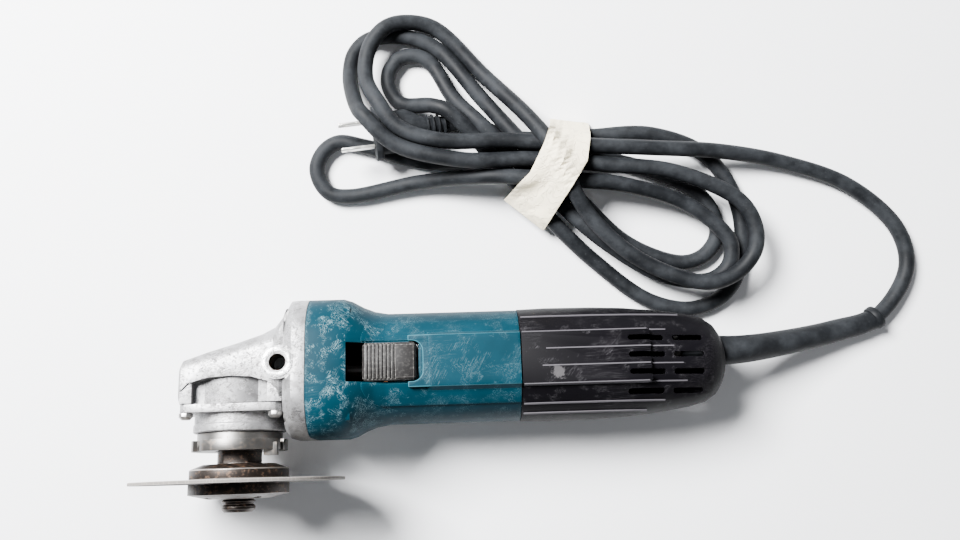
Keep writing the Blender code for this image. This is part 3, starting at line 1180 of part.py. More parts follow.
# ---------------------------------------------------------------- assembly
def build():
    clear_scene()
    cast = material("cast_aluminium", (0.60, 0.60, 0.59), 0.42, 0.9)
    teal = material("teal_plastic", (0.012, 0.13, 0.17), 0.45)
    black = material("black_plastic", (0.018, 0.017, 0.021), 0.5)
    rubber = material("rubber", (0.022, 0.023, 0.026), 0.75)
    steel = material("steel", (0.45, 0.44, 0.43), 0.35, 1.0)
    worn = material("worn_steel", (0.14, 0.11, 0.09), 0.5, 0.8)
    abrasive = material("abrasive", (0.12, 0.11, 0.10), 0.9)
    copper = material("copper", (0.55, 0.22, 0.10), 0.4, 1.0)
    brass = material("brass", (0.60, 0.45, 0.18), 0.35, 1.0)
    carbon = material("carbon", (0.03, 0.03, 0.03), 0.7)
    iron = material("laminations", (0.20, 0.20, 0.21), 0.5, 0.8)
    paper = material("tape_paper", (0.72, 0.67, 0.55), 0.8)

    tool = empty("tool")
    spin = empty("spindle_axis", tool)
    motor = empty("armature_axis", tool)
    spindle_cage, front_cage, rear_cage = (empty(name, tool) for name in
                                           ("spindle_cage_axis", "front_cage_axis", "rear_cage_axis"))
    button = empty("lock_button_axis", tool)
    button.location.x = LOCK_X
    slide = empty("switch_slide_axis", tool)

    gear_housing(tool, cast)
    motor_housing(tool, teal)
    rear_cover(tool, black)
    bearing_box(tool, cast)
    guard_collar(tool, steel)
    fasteners(tool, steel)

    spindle(spin, worn)
    inner_flange(spin, worn)
    cutting_disc(spin, abrasive)
    lock_nut(spin, worn)
    bevel_gear(spin, steel)
    pinion(motor, steel)
    armature(motor, steel, iron, copper, black)
    bearing("spindle_bearing", SPINDLE_BEARING, SPINDLE_BEARING_AT, tool, spin, spindle_cage,
            SPINDLE, steel, brass, 20)
    bearing("front_bearing", FRONT_BEARING, FRONT_BEARING_AT, tool, motor, front_cage, MOTOR, steel, brass)
    bearing("rear_bearing", REAR_BEARING, REAR_BEARING_AT, tool, motor, rear_cage, MOTOR, steel, brass)
    bush_bore, bush_end = 4 * MM + FIT, -2.5 * MM
    bush = [(-ROOF_POCKET, bush_bore), (-ROOF_POCKET, BUSH_R), (bush_end, BUSH_R), (bush_end, bush_bore)]
    lathe("spindle_bush", bush, brass, tool, SPINDLE, 16)

    baffle = BELL_START + 1 * MM
    rim, rim_r = baffle + 1.2 * MM, 27.6 * MM
    profile = [(baffle, 15 * MM), (baffle, rim_r), (rim, rim_r), (rim, 17 * MM), (baffle + 3 * MM, 15 * MM)]
    lathe("fan_baffle", profile, black, tool, MOTOR, 20)
    field_core(tool, iron)
    field_coil("field_coil_1", 0.0, tool, copper)
    field_coil("field_coil_2", math.pi, tool, copper)
    brush_gear(tool, brass, carbon)
    slide_switch(slide, tool, black)
    spindle_lock(button, tool, steel, black, steel)
    cord_clamp(tool, black, steel)
    seat = REAR_BEARING_AT + 2 * MM
    outer = rear_radius(seat - BARREL_END)
    screw("rear_cover_screw", -outer + 1.6 * MM - GAP, -BARREL_R + 11 * MM, steel, tool, UPRIGHT, (seat, 0),
          SCREW_HEAD_R, SCREW_R - 0.4 * MM, 1.2 * MM)
    lay_down(tool)

    lead = lead_and_guard(tool, rubber, rubber)
    plug(rubber, brass)
    cord_tape(lead, paper)


if __name__ == "__main__":
    build()
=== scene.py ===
"""Looks of the angle grinder: its lead, its finishes and the pale floor it lies on."""

import json
import math

import bmesh
import bpy
from bpy.props import FloatProperty, FloatVectorProperty, IntProperty, PointerProperty
from mathutils import Matrix, Vector

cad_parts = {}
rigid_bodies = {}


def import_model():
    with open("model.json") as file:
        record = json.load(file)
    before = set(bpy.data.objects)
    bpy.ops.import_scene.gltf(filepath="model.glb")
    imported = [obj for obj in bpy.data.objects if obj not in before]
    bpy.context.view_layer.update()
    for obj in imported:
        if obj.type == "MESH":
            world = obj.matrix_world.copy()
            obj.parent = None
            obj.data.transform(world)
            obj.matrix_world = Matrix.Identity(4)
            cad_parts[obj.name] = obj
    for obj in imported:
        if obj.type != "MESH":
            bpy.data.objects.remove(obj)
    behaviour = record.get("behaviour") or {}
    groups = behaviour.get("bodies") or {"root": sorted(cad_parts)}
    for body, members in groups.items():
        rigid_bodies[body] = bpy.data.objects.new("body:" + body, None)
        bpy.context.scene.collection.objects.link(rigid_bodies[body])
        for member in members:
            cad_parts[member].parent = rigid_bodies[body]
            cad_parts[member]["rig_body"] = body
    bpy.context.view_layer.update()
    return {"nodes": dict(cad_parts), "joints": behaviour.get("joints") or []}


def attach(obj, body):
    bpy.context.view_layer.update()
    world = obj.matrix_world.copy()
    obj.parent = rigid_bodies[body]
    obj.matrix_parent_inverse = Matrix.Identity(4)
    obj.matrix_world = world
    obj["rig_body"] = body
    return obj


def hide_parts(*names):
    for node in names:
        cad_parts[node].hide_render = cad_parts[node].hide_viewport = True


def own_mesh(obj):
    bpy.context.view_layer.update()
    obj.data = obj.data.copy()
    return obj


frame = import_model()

bl_info = {
    "name": "Angle grinder",
    "version": (1, 0, 0),
    "blender": (4, 5, 0),
    "location": "3D View > Sidebar > Grinder",
    "description": "Builds the visible pieces and finishes of a small corded angle grinder",
    "category": "Add Mesh",
}

MM = 0.001


def tool_axes():
    """The tool's own axes: x along the motor towards the rear, -y along the spindle, z at the switch."""
    joints = {joint["name"]: joint for joint in frame["joints"]}
    along = Vector(joints["armature_spin"]["axis"]).normalized()
    across = -Vector(joints["spindle_spin"]["axis"]).normalized()
    turn = Matrix((along, across, along.cross(across))).transposed().to_4x4()
    return Matrix.Translation(joints["armature_spin"]["pos_m"]) @ turn


TOOL = tool_axes()
SPINDLE = Matrix(((1, 0, 0, 0), (0, 0, -1, 0), (0, 1, 0, 0), (0, 0, 0, 1)))  # upright along -y
CAD_SLOT = {name: node.data.materials[0].name.split(".")[0] for name, node in frame["nodes"].items()}
BODY = {name: node["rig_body"] for name, node in frame["nodes"].items()}

# ---- mains lead: middle of the guard, then of the lead, in mm on the floor's axes ----
COVER_END = 236.3 * MM
EXIT_UP = 4.5 * MM
PER_SPAN = 12  # steps of the smooth curve from one point to the next
ON_FLOOR = 4.1 * MM  # height of the lead's middle where it lies on the floor
GUARD_R, GUARD_TIP_R, FLANGE_R = 7.4 * MM, 5.3 * MM, 8.8 * MM
BEAD_LENGTH = 6 * MM
BEAD = ((4.4, 5.3), (3.9, 5.95), (3.2, 6.3), (1.2, 6.3), (0.4, 5.95), (0.0, 5.2))  # mm from the tip, radius
PLUG_RIB = ((0.0, 5.0), (0.35, 6.6), (1.15, 6.6), (1.5, 5.0))  # mm along the plug, radius
PLUG_RIB_GAP = 2.9
BLADE_APART = 12.7 * MM
BLADE_HOLE = 13.5 * MM  # from the plug's face
GUARD_ROUTE = ((174.5, 21, 19), (207.5, 26, 9.5), (232.5, 33.5, 6.3))
LEAD_ROUTE = (
    (249, 57.5, 4.5), (245, 78.5, 4.1), (220, 102, 4.1), (185.5, 115, 6), (150.5, 121, 12.5),
    (114, 123, 18), (78, 125, 20.5), (41.5, 128, 22.5), (5.5, 128.5, 27.5), (-14.5, 135.5, 27.5),
    (-24.5, 148.5, 26.5), (-31.5, 163.5, 17), (-29.5, 179.5, 13.5), (-21.5, 189.5, 12.5), (-11, 193, 9),
    (4, 190.5, 5), (29, 165, 6), (51, 140, 21.5), (63, 122.5, 30), (79.5, 90.5, 23.5), (106, 66, 20),
    (139, 53.5, 21), (154.5, 57.5, 20), (164.5, 68.5, 20), (165.5, 80.5, 20), (158, 94.5, 20),
    (125.5, 110, 20.5), (89, 115, 20.5), (52.5, 118.5, 21), (16.5, 118.5, 26.5), (-16.5, 127, 28.5),
    (-31.5, 141.5, 29.5), (-35.5, 147, 24), (-40.5, 166, 9.5), (-38.5, 178, 5.5), (-31, 185.5, 4.1),
    (-15, 187, 4.5), (4.5, 180, 4.1), (27.5, 152.5, 8.5), (51, 125, 13), (76.5, 98.5, 10.5),
    (103, 74.5, 4.5), (130.5, 64, 4.1), (142, 67, 4.1), (149, 75.5, 4.1), (149.5, 84, 4.1),
    (142, 98.5, 4.1), (109.5, 115, 4.1), (74, 121.5, 4.1), (37.5, 121.5, 4.1), (0.5, 120, 4.1),
    (-34.5, 129.5, 4.1), (-48, 132, 4.1), (-55.5, 128, 4.1), (-60, 119.5, 4.1), (-58.5, 111.5, 4.1),
    (-53, 105, 4.1), (-42.5, 103.5, 4.1), (-6.5, 109.5, 7), (28, 110.5, 19.5), (64, 108, 21),
    (100, 104.5, 17.5), (134.5, 93, 12.5), (153.5, 76, 12.5), (155, 68, 12.5), (152.5, 60.5, 12),
    (143, 54.5, 12), (119.5, 57.5, 12), (88.5, 76.5, 12.5), (62, 101.5, 12), (37, 128, 13.5),
    (26, 139, 14.5), (13, 153, 8), (2.5, 171, 4.1), (-3.5, 175.5, 4.1), (-10.5, 176.5, 4.1),
    (-16.5, 174.5, 4.1), (-17, 173.5, 4.1), (-20.5, 168.5, 4.1), (-21, 161, 4.5), (-15, 151.5, 5.5),
    (2.5, 148, 15.5), (10.5, 144.5, 18), (34, 119.5, 12), (58, 92, 12), (84, 66.5, 5), (113, 44.5, 4.1),
    (135.5, 39.5, 4.1), (152.5, 46.5, 4.1), (161, 60.5, 4.1), (161.5, 92, 4.1), (145.5, 119.5, 4.1),
    (116.5, 132, 4.1), (80, 131.5, 4.5), (43.5, 132, 4.1), (21, 139.5, 7.2), (9.3, 138.6, 9.5),
)
PLUG_ENTRY = Vector((9.3, 138.6, 9.5)) * MM
PLUG_FACE = Vector((-28.3, 134.0, 16.4)) * MM

# ---- added details, on the tool's axes ----
POST_IN, POST_OUT, POST_TOP = 16.2 * MM, 24.2 * MM, -4.6 * MM
POST_FRONT, POST_BACK = (-22.8 * MM, -17.4 * MM), (17.2 * MM, 24.0 * MM)
POST_SCREW, POST_BORE_R = 20.5 * MM, 2.4 * MM  # from the spindle's axis to the screw's, each way
BOSS_AT, BOSS_FACE = (22.9 * MM, MM, 0), 30.75 * MM
BOSS_RING_R, BOSS_MOUTH_R = 7.1 * MM, 4.7 * MM
THREAD_PITCH = 1.5  # mm
DOME_AT = (32.0 * MM, 32.8 * MM, 6 * MM)
PANEL_FRONT = 60.7 * MM
PLATE_HALF, SCOOP_HALF, SCOOP_BACK = 12.1 * MM, 9.5 * MM, 89.4 * MM
COVER_RIBS = (  # mm across, and from where to where along the cover
    (4.0, 147, 208), (-4.0, 145, 212), (20.4, 136.4, 214), (-20.3, 136.4, 204), (12.0, 136.2, 205),
    (-12.0, 136.2, 214), (-24.4, 136.4, 196),
)
LAMP_TARGET = Vector((0.03, 0.04, 0))
CAMERA_AT, CAMERA_TURN, CAMERA_LENS = (0.0245, 0.0628), math.radians(-1.535), 33.34


# ---------------------------------------------------------------- settings
def colour_setting(name, description, default):
    return FloatVectorProperty(name=name, description=description, default=default, size=3, min=0, max=1,
                               subtype="COLOR")


class GrinderLead(bpy.types.PropertyGroup):
    thickness: FloatProperty(name="Thickness", description="Diameter of the lead", default=8 * MM,
                             unit="LENGTH", subtype="DISTANCE")
    colour: colour_setting("Rubber", "Clean rubber of the lead and its guard", (0.0040, 0.0046, 0.0056))
    dust: colour_setting("Dust", "Dust rubbed into the rubber", (0.028, 0.031, 0.035))
    tape: colour_setting("Tape", "Paper tape round the bundle", (0.86, 0.77, 0.56))
    wrinkle: FloatProperty(name="Wrinkle", description="Depth of the creases in the tape", default=1.0 * MM,
                           unit="LENGTH", subtype="DISTANCE")


class GrinderFinish(bpy.types.PropertyGroup):
    cast: colour_setting("Cast metal", "Aluminium of the gear housing", (0.38, 0.38, 0.387))
    shell: colour_setting("Shell", "Plastic of the motor housing", (0.0002, 0.017, 0.027))
    cover: colour_setting("Cover", "Plastic of the rear cover", (0.0013, 0.00115, 0.0017))
    rust: colour_setting("Brown steel", "Oxidised steel of the wheel's clamp", (0.015, 0.011, 0.009))
    disc: colour_setting("Disc", "Worn face of the cutting disc", (0.11, 0.10, 0.09))
    edge: FloatProperty(name="Edge rounding", description="Rounding of moulded and cast edges",
                        default=0.45 * MM, unit="LENGTH", subtype="DISTANCE")


class GrinderTrim(bpy.types.PropertyGroup):
    panel_half: FloatProperty(name="Panel half width", description="Half the width of the raised panel",
                              default=19.2 * MM, unit="LENGTH", subtype="DISTANCE")
    panel_rise: FloatProperty(name="Panel rise", description="How far the panel stands above the shell",
                              default=0.75 * MM, unit="LENGTH", subtype="DISTANCE")
    rib_width: FloatProperty(name="Rib width", description="Width of the thin ribs on the rear cover",
                             default=0.55 * MM, unit="LENGTH", subtype="DISTANCE")
    rib_steps: IntProperty(name="Rib steps", description="Lengthwise divisions of a rib", default=40, min=4)


class GrinderStage(bpy.types.PropertyGroup):
    floor: colour_setting("Floor", "Pale floor", (0.84, 0.85, 0.87))
    height: FloatProperty(name="Camera height", description="Height of the camera above the floor",
                          default=0.473, unit="LENGTH", subtype="DISTANCE")
    lamp: FloatProperty(name="Lamp", description="Power of the large soft lamp", default=150.0, unit="POWER")
    sky: FloatProperty(name="Room light", description="Strength of the light from all round", default=0.20)


# ---------------------------------------------------------------- making pieces
def only(*pieces):
    """Leave just these pieces selected, the first of them active."""
    if bpy.context.object and bpy.context.object.mode != "OBJECT":
        bpy.ops.object.mode_set(mode="OBJECT")
    bpy.ops.object.select_all(action="DESELECT")
    for piece in pieces:
        piece.select_set(True)
    if pieces:
        bpy.context.view_layer.objects.active = pieces[0]


def take(name):
    """Name the piece that an operator has just added."""
    piece = bpy.context.object
    piece.name = piece.data.name = name
    return piece


def edit(piece, mode="FACE", action="DESELECT"):
    only(piece)
    bpy.ops.object.mode_set(mode="EDIT")
    bpy.ops.mesh.select_mode(type=mode)
    bpy.ops.mesh.select_all(action=action)


def pick(piece, kind, test):
    """Select the faces, edges or verts whose middle passes the test."""
    bm = bmesh.from_edit_mesh(piece.data)
    for item in getattr(bm, kind):
        if kind == "faces":
            middle = item.calc_center_median()
        elif kind == "edges":
            middle = (item.verts[0].co + item.verts[1].co) / 2
        else:
            middle = item.co
        item.select_set(bool(test(middle, item)))
    bm.select_flush_mode()
    bmesh.update_edit_mesh(piece.data)


def done():
    bpy.ops.object.mode_set(mode="OBJECT")


def modify(piece, kind, **settings):
    """Add a modifier and apply it."""
    step = piece.modifiers.new(kind.lower(), kind)
    for key, value in settings.items():
        setattr(step, key, value)
    only(piece)
    bpy.ops.object.modifier_apply(modifier=step.name)


def carve(piece, cutter, operation="DIFFERENCE"):
    modify(piece, "BOOLEAN", operation=operation, object=cutter, solver="EXACT")
    bpy.data.objects.remove(cutter, do_unlink=True)


def settle(piece, place=TOOL):
    """Put a piece made on the tool's axes where the tool lies, with the place in its mesh."""
    piece.matrix_world = place @ piece.matrix_world
    bpy.context.view_layer.update()
    only(piece)
    bpy.ops.object.transform_apply(location=True, rotation=True, scale=True)


def bevel(piece, width, segments, angle, **settings):
    """Round the edges sharper than an angle in degrees."""
    modify(piece, "BEVEL", width=width, segments=segments, limit_method="ANGLE",
           angle_limit=math.radians(angle), **settings)


def smooth_off(piece, angle=34):
    only(piece)
    bpy.ops.object.shade_smooth_by_angle(angle=math.radians(angle))


def coat(piece, finishes):
    piece.data.materials.clear()
    for finish in finishes:
        piece.data.materials.append(finish)


def dress(piece, body, slot, *finishes):
    """Give a piece its finishes and the body it moves with. The slot it is given is not used."""
    coat(piece, finishes)
    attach(piece, body)


def block(name, low, high, place=TOOL):
    """A block between two corners on the tool's axes."""
    low, high = Vector(low), Vector(high)
    only()
    bpy.ops.mesh.primitive_cube_add(size=1, location=(low + high) / 2, scale=high - low)
    piece = take(name)
    settle(piece, place)
    return piece


def bar(name, radius, start, end, place, steps=32):
    """A round bar along z, from start to end."""
    only()
    bpy.ops.mesh.primitive_cylinder_add(vertices=steps, radius=radius, depth=end - start,
                                        location=(0, 0, (start + end) / 2))
    piece = take(name)
    settle(piece, place)
    return piece


def copy_of(node):
    """A clean copy of a CAD node's mesh: doubles merged, flat faces whole."""
    source = frame["nodes"][node]
    piece = bpy.data.objects.new(node + "_shown", source.data.copy())
    bpy.context.scene.collection.objects.link(piece)
    edit(piece, action="SELECT")
    bpy.ops.mesh.remove_doubles(threshold=0.003 * MM)
    bpy.ops.mesh.dissolve_limited(angle_limit=math.radians(0.6))
    done()
    if piece.data.has_custom_normals:
        only(piece)
        bpy.ops.mesh.customdata_custom_splitnormals_clear()
    return piece


def skin(node, *finishes, width=None, angle=28, segments=2, change=None):
    """A CAD node with rounded edges. A second finish goes on the rounded edges themselves."""
    piece = copy_of(node)
    if change:
        change(piece)
    coat(piece, finishes)
    width = bpy.context.scene.grinder_finish.edge if width is None else width
    bevel(piece, width, segments, angle, material=len(finishes) - 1)
    smooth_off(piece)
    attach(piece, BODY[node])
    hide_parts(node)
    return piece


def flat_strip(name, x_range, y_range, steps, lift=40 * MM):
    """A flat divided strip that hangs over the switch's side, on the tool's axes."""
    only()
    (x0, x1), (y0, y1) = x_range, y_range
    bpy.ops.mesh.primitive_grid_add(x_subdivisions=steps[0], y_subdivisions=steps[1], size=1,
                                    location=((x0 + x1) / 2, (y0 + y1) / 2, lift))
    piece = take(name)
    piece.scale = (x1 - x0, y1 - y0, 1)
    only(piece)
    bpy.ops.object.transform_apply(location=True, rotation=False, scale=True)
    piece.matrix_world = TOOL.copy()
    bpy.context.view_layer.update()
    return piece


def lay_on(piece, target, rise, sink=0.4 * MM):
    """Drop a strip straight onto the target, then thicken it outwards."""
    modify(piece, "SHRINKWRAP", target=target, wrap_method="PROJECT", use_project_z=True,
           use_negative_direction=True, use_positive_direction=False, offset=-sink)
    modify(piece, "SOLIDIFY", thickness=rise + sink, offset=1.0)
    only(piece)
    bpy.ops.object.transform_apply(location=True, rotation=True, scale=True)


def round_line(name, points, depth, sides, radii=None):
    """A round bar along points. Its radius is the depth, times a share at each point if any are given."""
    curve = bpy.data.curves.new(name, "CURVE")
    curve.dimensions = "3D"
    curve.bevel_depth = depth
    curve.bevel_resolution = sides
    curve.use_fill_caps = True
    spline = curve.splines.new("POLY")
    spline.points.add(len(points) - 1)
    for point, co, radius in zip(spline.points, points, radii or [1.0] * len(points)):
        point.co = (*co, 1)
        point.radius = radius
    piece = bpy.data.objects.new(name, curve)
    bpy.context.scene.collection.objects.link(piece)
    return piece


def tube(name, points, radii):
    """A round mesh along points, with a radius at each."""
    only(round_line(name, points, 1.0, 10, radii))
    bpy.ops.object.convert(target="MESH")
    piece = take(name)
    edit(piece, action="SELECT")
    bpy.ops.mesh.remove_doubles(threshold=0.002 * MM)
    bpy.ops.mesh.normals_make_consistent(inside=False)
    done()
    smooth_off(piece)
    return piece


def smooth_line(points):
    """A smooth curve through the points, with no overshoot where their spacing changes."""
    ends = [2 * points[0] - points[1]] + list(points) + [2 * points[-1] - points[-2]]
    line = []
    for before, start, end, after in zip(ends, ends[1:], ends[2:], ends[3:]):
        knots = [0.0]
        for one, two in ((before, start), (start, end), (end, after)):
            knots.append(knots[-1] + math.sqrt((two - one).length))
        k0, k1, k2, k3 = knots
        for step in range(PER_SPAN):
            k = k1 + (k2 - k1) * step / PER_SPAN
            first = before.lerp(start, (k - k0) / (k1 - k0))
            second = start.lerp(end, (k - k1) / (k2 - k1))
            third = end.lerp(after, (k - k2) / (k3 - k2))
            rise = first.lerp(second, (k - k0) / (k2 - k0))
            fall = second.lerp(third, (k - k1) / (k3 - k1))
            line.append(rise.lerp(fall, (k - k1) / (k2 - k1)))
    return line + [points[-1].copy()]


def lead_line():
    """The guard's middle line and the free lead's."""
    straight = [TOOL @ Vector((x, EXIT_UP, 0)) for x in (COVER_END - 4 * MM, COVER_END + 9 * MM)]
    route = [MM * Vector(point) for point in GUARD_ROUTE]
    line = smooth_line(straight + route + [MM * Vector(point) for point in LEAD_ROUTE])
    split = (len(straight) + len(route) - 1) * PER_SPAN
    return line[:split + 1], [Vector((x, y, max(z, ON_FLOOR))) for x, y, z in line[split:]]


# ---------------------------------------------------------------- making finishes
class Wire:
    """One output of a finish's nodes, on which ordinary arithmetic can be done."""

    def __init__(self, paint, socket):
        self.paint, self.socket = paint, socket

    def sum_with(self, operation, one, two):
        return self.paint.add("ShaderNodeMath", {"operation": operation}, {0: one, 1: two})

    def __add__(self, other):
        return self.sum_with("ADD", self, other)

    def __sub__(self, other):
        return self.sum_with("SUBTRACT", self, other)

    def __rsub__(self, other):
        return self.sum_with("SUBTRACT", other, self)

    def __mul__(self, other):
        return self.sum_with("MULTIPLY", self, other)

    def __pow__(self, other):
        return self.sum_with("POWER", self, other)

    def __abs__(self):
        return self.sum_with("ABSOLUTE", self, 0.0)

    __radd__ = __add__
    __rmul__ = __mul__


class Paint:
    """A finish being mixed. Its patterns follow the tool's own axes, or the floor's."""

    def __init__(self, name, on_tool=True):
        self.material = bpy.data.materials.new(name)
        self.material.use_nodes = True
        self.shader = self.material.node_tree.nodes["Principled BSDF"]
        self.place = self.add("ShaderNodeTexCoord", out="Object")
        if on_tool:
            self.place = self.add("ShaderNodeMapping", {"vector_type": "TEXTURE"}, {
                "Vector": self.place, "Location": TOOL.translation, "Rotation": TOOL.to_euler()})

    def add(self, kind, settings=None, values=None, out=0):
        node = self.material.node_tree.nodes.new(kind)
        for key, value in (settings or {}).items():
            setattr(node, key, value)
        for key, value in (values or {}).items():
            if isinstance(value, Wire):
                self.material.node_tree.links.new(value.socket, node.inputs[key])
            else:
                node.inputs[key].default_value = value
        return Wire(self, node.outputs[out])

    def stretched(self, size, turn=(0, 0, 0)):
        return self.add("ShaderNodeMapping", {"vector_type": "TEXTURE"}, {
            "Vector": self.place, "Rotation": [math.radians(angle) for angle in turn], "Scale": size})

    def noise(self, size, detail=3.0, rough=0.55, vector=None, twist=0.0):
        """Soft cloudy pattern whose lumps are about size across, in metres."""
        return self.add("ShaderNodeTexNoise", None, {
            "Vector": vector or self.place, "Scale": 1 / size, "Detail": detail, "Roughness": rough,
            "Distortion": twist})

    def step(self, value, low, high):
        """0 below low, 1 above high, soft between."""
        return self.add("ShaderNodeMapRange", {"interpolation_type": "SMOOTHSTEP"}, {
            "Value": value, "From Min": low, "From Max": high})

    def scores(self, length, gap, turn, thin=0.02, crowd=0.55):
        """Broken straight scratches in one direction, 0 to 1."""
        streak = self.noise(1.0, 2.0, 0.5, self.stretched((length, gap, gap), turn))
        line = 1 - self.step(abs(streak - 0.5), 0.0, thin)
        return line * self.step(self.noise(length * 0.8, 2.0), crowd, crowd + 0.08)

    def mix(self, share, one, two):
        """From colour one to colour two."""
        ends = [value if isinstance(value, Wire) else (*value, 1.0) for value in (one, two)]
        return self.add("ShaderNodeMix", {"data_type": "RGBA"}, {0: share, 6: ends[0], 7: ends[1]}, 2)

    def rings(self, size):
        """Fine turned rings round the spindle."""
        parts = self.add("ShaderNodeSeparateXYZ", None, {0: self.place})
        x, y, z = (Wire(self, parts.socket.node.outputs[i]) for i in range(3))
        radius = (x * x + z * z) ** 0.5
        line = self.add("ShaderNodeCombineXYZ", None, {0: radius, 1: y})
        return self.noise(size, 2.0, 0.6, line)

    def along(self, axis, size, blur=0.0):
        """Bands across one of the pattern's axes."""
        return self.add("ShaderNodeTexWave", {"bands_direction": axis}, {
            "Vector": self.place, "Scale": 0.314 / size, "Distortion": blur})

    def finish(self, colour, roughness, metallic=0.0, relief=None, depth=0.0, coat=None, gloss=0.5):
        """Feed the shader. Relief is a height from 0 to 1, depth its size in metres."""
        self.shader.inputs["Specular IOR Level"].default_value = gloss
        links = self.material.node_tree.links
        fed = {"Base Color": colour, "Roughness": roughness, "Metallic": metallic}
        for key, value in fed.items():
            if isinstance(value, Wire):
                links.new(value.socket, self.shader.inputs[key])
            else:
                self.shader.inputs[key].default_value = (*value, 1) if key == "Base Color" else value
        if coat:
            self.shader.inputs["Coat Weight"].default_value = coat
        if relief:
            bump = self.add("ShaderNodeBump", None, {"Strength": 1.0, "Distance": depth, "Height": relief})
            links.new(bump.socket, self.shader.inputs["Normal"])
        return self.material


def cast_metal(name, edge=0.0):
    """Scratched cast aluminium. Edge is how far its skin has been knocked bright."""
    paint = Paint(name)
    grain = paint.noise(0.7 * MM, 4.0, 0.7)
    cloud = paint.noise(14 * MM, 3.0)
    dents = paint.step(paint.noise(2.2 * MM, 5.0, 0.75, twist=0.8), 0.56, 0.63)
    cuts = paint.scores(16 * MM, 0.8 * MM, (0, 20, 25), 0.045, 0.43)
    more = paint.scores(9 * MM, 0.6 * MM, (0, -35, -70), 0.035, 0.5)
    soil = paint.step(paint.noise(5 * MM, 4.0, 0.7), 0.46, 0.66) * 0.7
    base = bpy.context.scene.grinder_finish.cast
    dull = [0.62 * value for value in base]
    bright = [min(1.0, 1.32 * value) for value in base]
    colour = paint.mix(cloud, dull, base)
    colour = paint.mix(soil * (1 - edge), colour, (0.15, 0.145, 0.145))
    colour = paint.mix(dents * 0.7, colour, (0.14, 0.135, 0.135))
    colour = paint.mix(cuts * 0.9, colour, (0.055, 0.05, 0.05))
    colour = paint.mix(more * 0.6, colour, bright)
    colour = paint.mix(edge, colour, bright)
    rough = 0.40 - 0.14 * edge + grain * 0.16 - cuts * 0.08
    height = grain * 0.35 + cloud * 0.5 - dents * 0.7 - (cuts + more) * 0.35
    return paint.finish(colour, rough, 0.82, height, 0.10 * MM)


def shell_plastic(name, edge=0.0):
    """Blue-green moulded plastic with pale scuffs, thickest near the gear housing."""
    paint = Paint(name)
    base = bpy.context.scene.grinder_finish.shell
    cloud = paint.noise(22 * MM, 4.0, 0.6)
    grain = paint.noise(0.35 * MM, 2.0)
    parts = paint.add("ShaderNodeSeparateXYZ", None, {0: paint.place})
    near = 1 - paint.step(parts, 44 * MM, 96 * MM) * 0.75
    chips = paint.step(paint.noise(2.4 * MM, 5.0, 0.72, twist=0.6), 0.63, 0.67) * near
    lines = (paint.scores(10 * MM, 0.5 * MM, (0, 0, 62), 0.03, 0.52)
             + paint.scores(12 * MM, 0.55 * MM, (0, 15, -35), 0.025, 0.53)) * near
    fine = paint.scores(26 * MM, 0.5 * MM, (0, 0, 4), 0.018, 0.5)
    deep = [0.62 * value for value in base]
    lit = [min(1.0, 1.5 * value + 0.002) for value in base]
    colour = paint.mix(cloud, deep, lit)
    colour = paint.mix(chips * 0.5, colour, (0.09, 0.19, 0.225))
    colour = paint.mix(lines * 0.5 + fine * 0.07, colour, (0.22, 0.37, 0.41))
    colour = paint.mix(edge * 0.4, colour, (0.05, 0.20, 0.25))
    rough = 0.48 + cloud * 0.14 + chips * 0.2 + lines * 0.1
    height = grain * 0.2 + cloud * 0.2 - chips * 0.5 - lines * 0.4
    return paint.finish(colour, rough, 0.0, height, 0.05 * MM, gloss=0.05)


def cover_plastic(name, edge=0.0):
    """Near-black plastic, faintly violet, scored along its length."""
    paint = Paint(name)
    base = bpy.context.scene.grinder_finish.cover
    cloud = paint.noise(26 * MM, 4.0, 0.6)
    grain = paint.noise(0.3 * MM, 2.0)
    long = paint.scores(34 * MM, 0.45 * MM, (0, 0, 3), 0.022, 0.48)
    short = paint.scores(8 * MM, 0.5 * MM, (10, 0, 48), 0.03, 0.56)
    chips = paint.step(paint.noise(1.9 * MM, 5.0, 0.7), 0.68, 0.71)
    spot = paint.add("ShaderNodeVectorMath", {"operation": "DISTANCE"},
                     {0: paint.place, 1: (152 * MM, -7 * MM, 28 * MM)}, "Value")
    ragged = spot + (paint.noise(3.2 * MM, 5.0, 0.75) - 0.5) * 12 * MM
    scuff = 1 - paint.step(ragged, 2.0 * MM, 3.2 * MM)
    lit = [1.8 * value + 0.0006 for value in base]
    colour = paint.mix(cloud, base, lit)
    colour = paint.mix(long * 0.22 + short * 0.4 + chips * 0.25, colour, (0.075, 0.072, 0.078))
    colour = paint.mix(scuff * 0.35, colour, (0.12, 0.115, 0.12))
    colour = paint.mix(edge * 0.6, colour, (0.10, 0.095, 0.105))
    rough = 0.46 + cloud * 0.16 + (long + short) * 0.08 + scuff * 0.2
    height = grain * 0.25 + cloud * 0.2 - (long + short + chips) * 0.4
    return paint.finish(colour, rough, 0.0, height, 0.045 * MM, gloss=0.045)


def knob_plastic(name, edge=0.0):
    """Black plastic of the small controls, rubbed grey on its edges."""
    paint = Paint(name)
    cloud = paint.noise(7 * MM, 4.0)
    grain = paint.noise(0.25 * MM, 2.0)
    rubbed = paint.step(paint.noise(1.4 * MM, 4.0, 0.7), 0.5, 0.6)
    colour = paint.mix(cloud, (0.004, 0.0038, 0.004), (0.012, 0.011, 0.011))
    colour = paint.mix(rubbed * (0.04 + 0.5 * edge), colour, (0.30, 0.29, 0.27))
    colour = paint.mix(edge * 0.3, colour, (0.16, 0.155, 0.145))
    return paint.finish(colour, 0.36 + cloud * 0.2, 0.0, grain * 0.3 + rubbed * 0.3, 0.03 * MM, gloss=0.22)


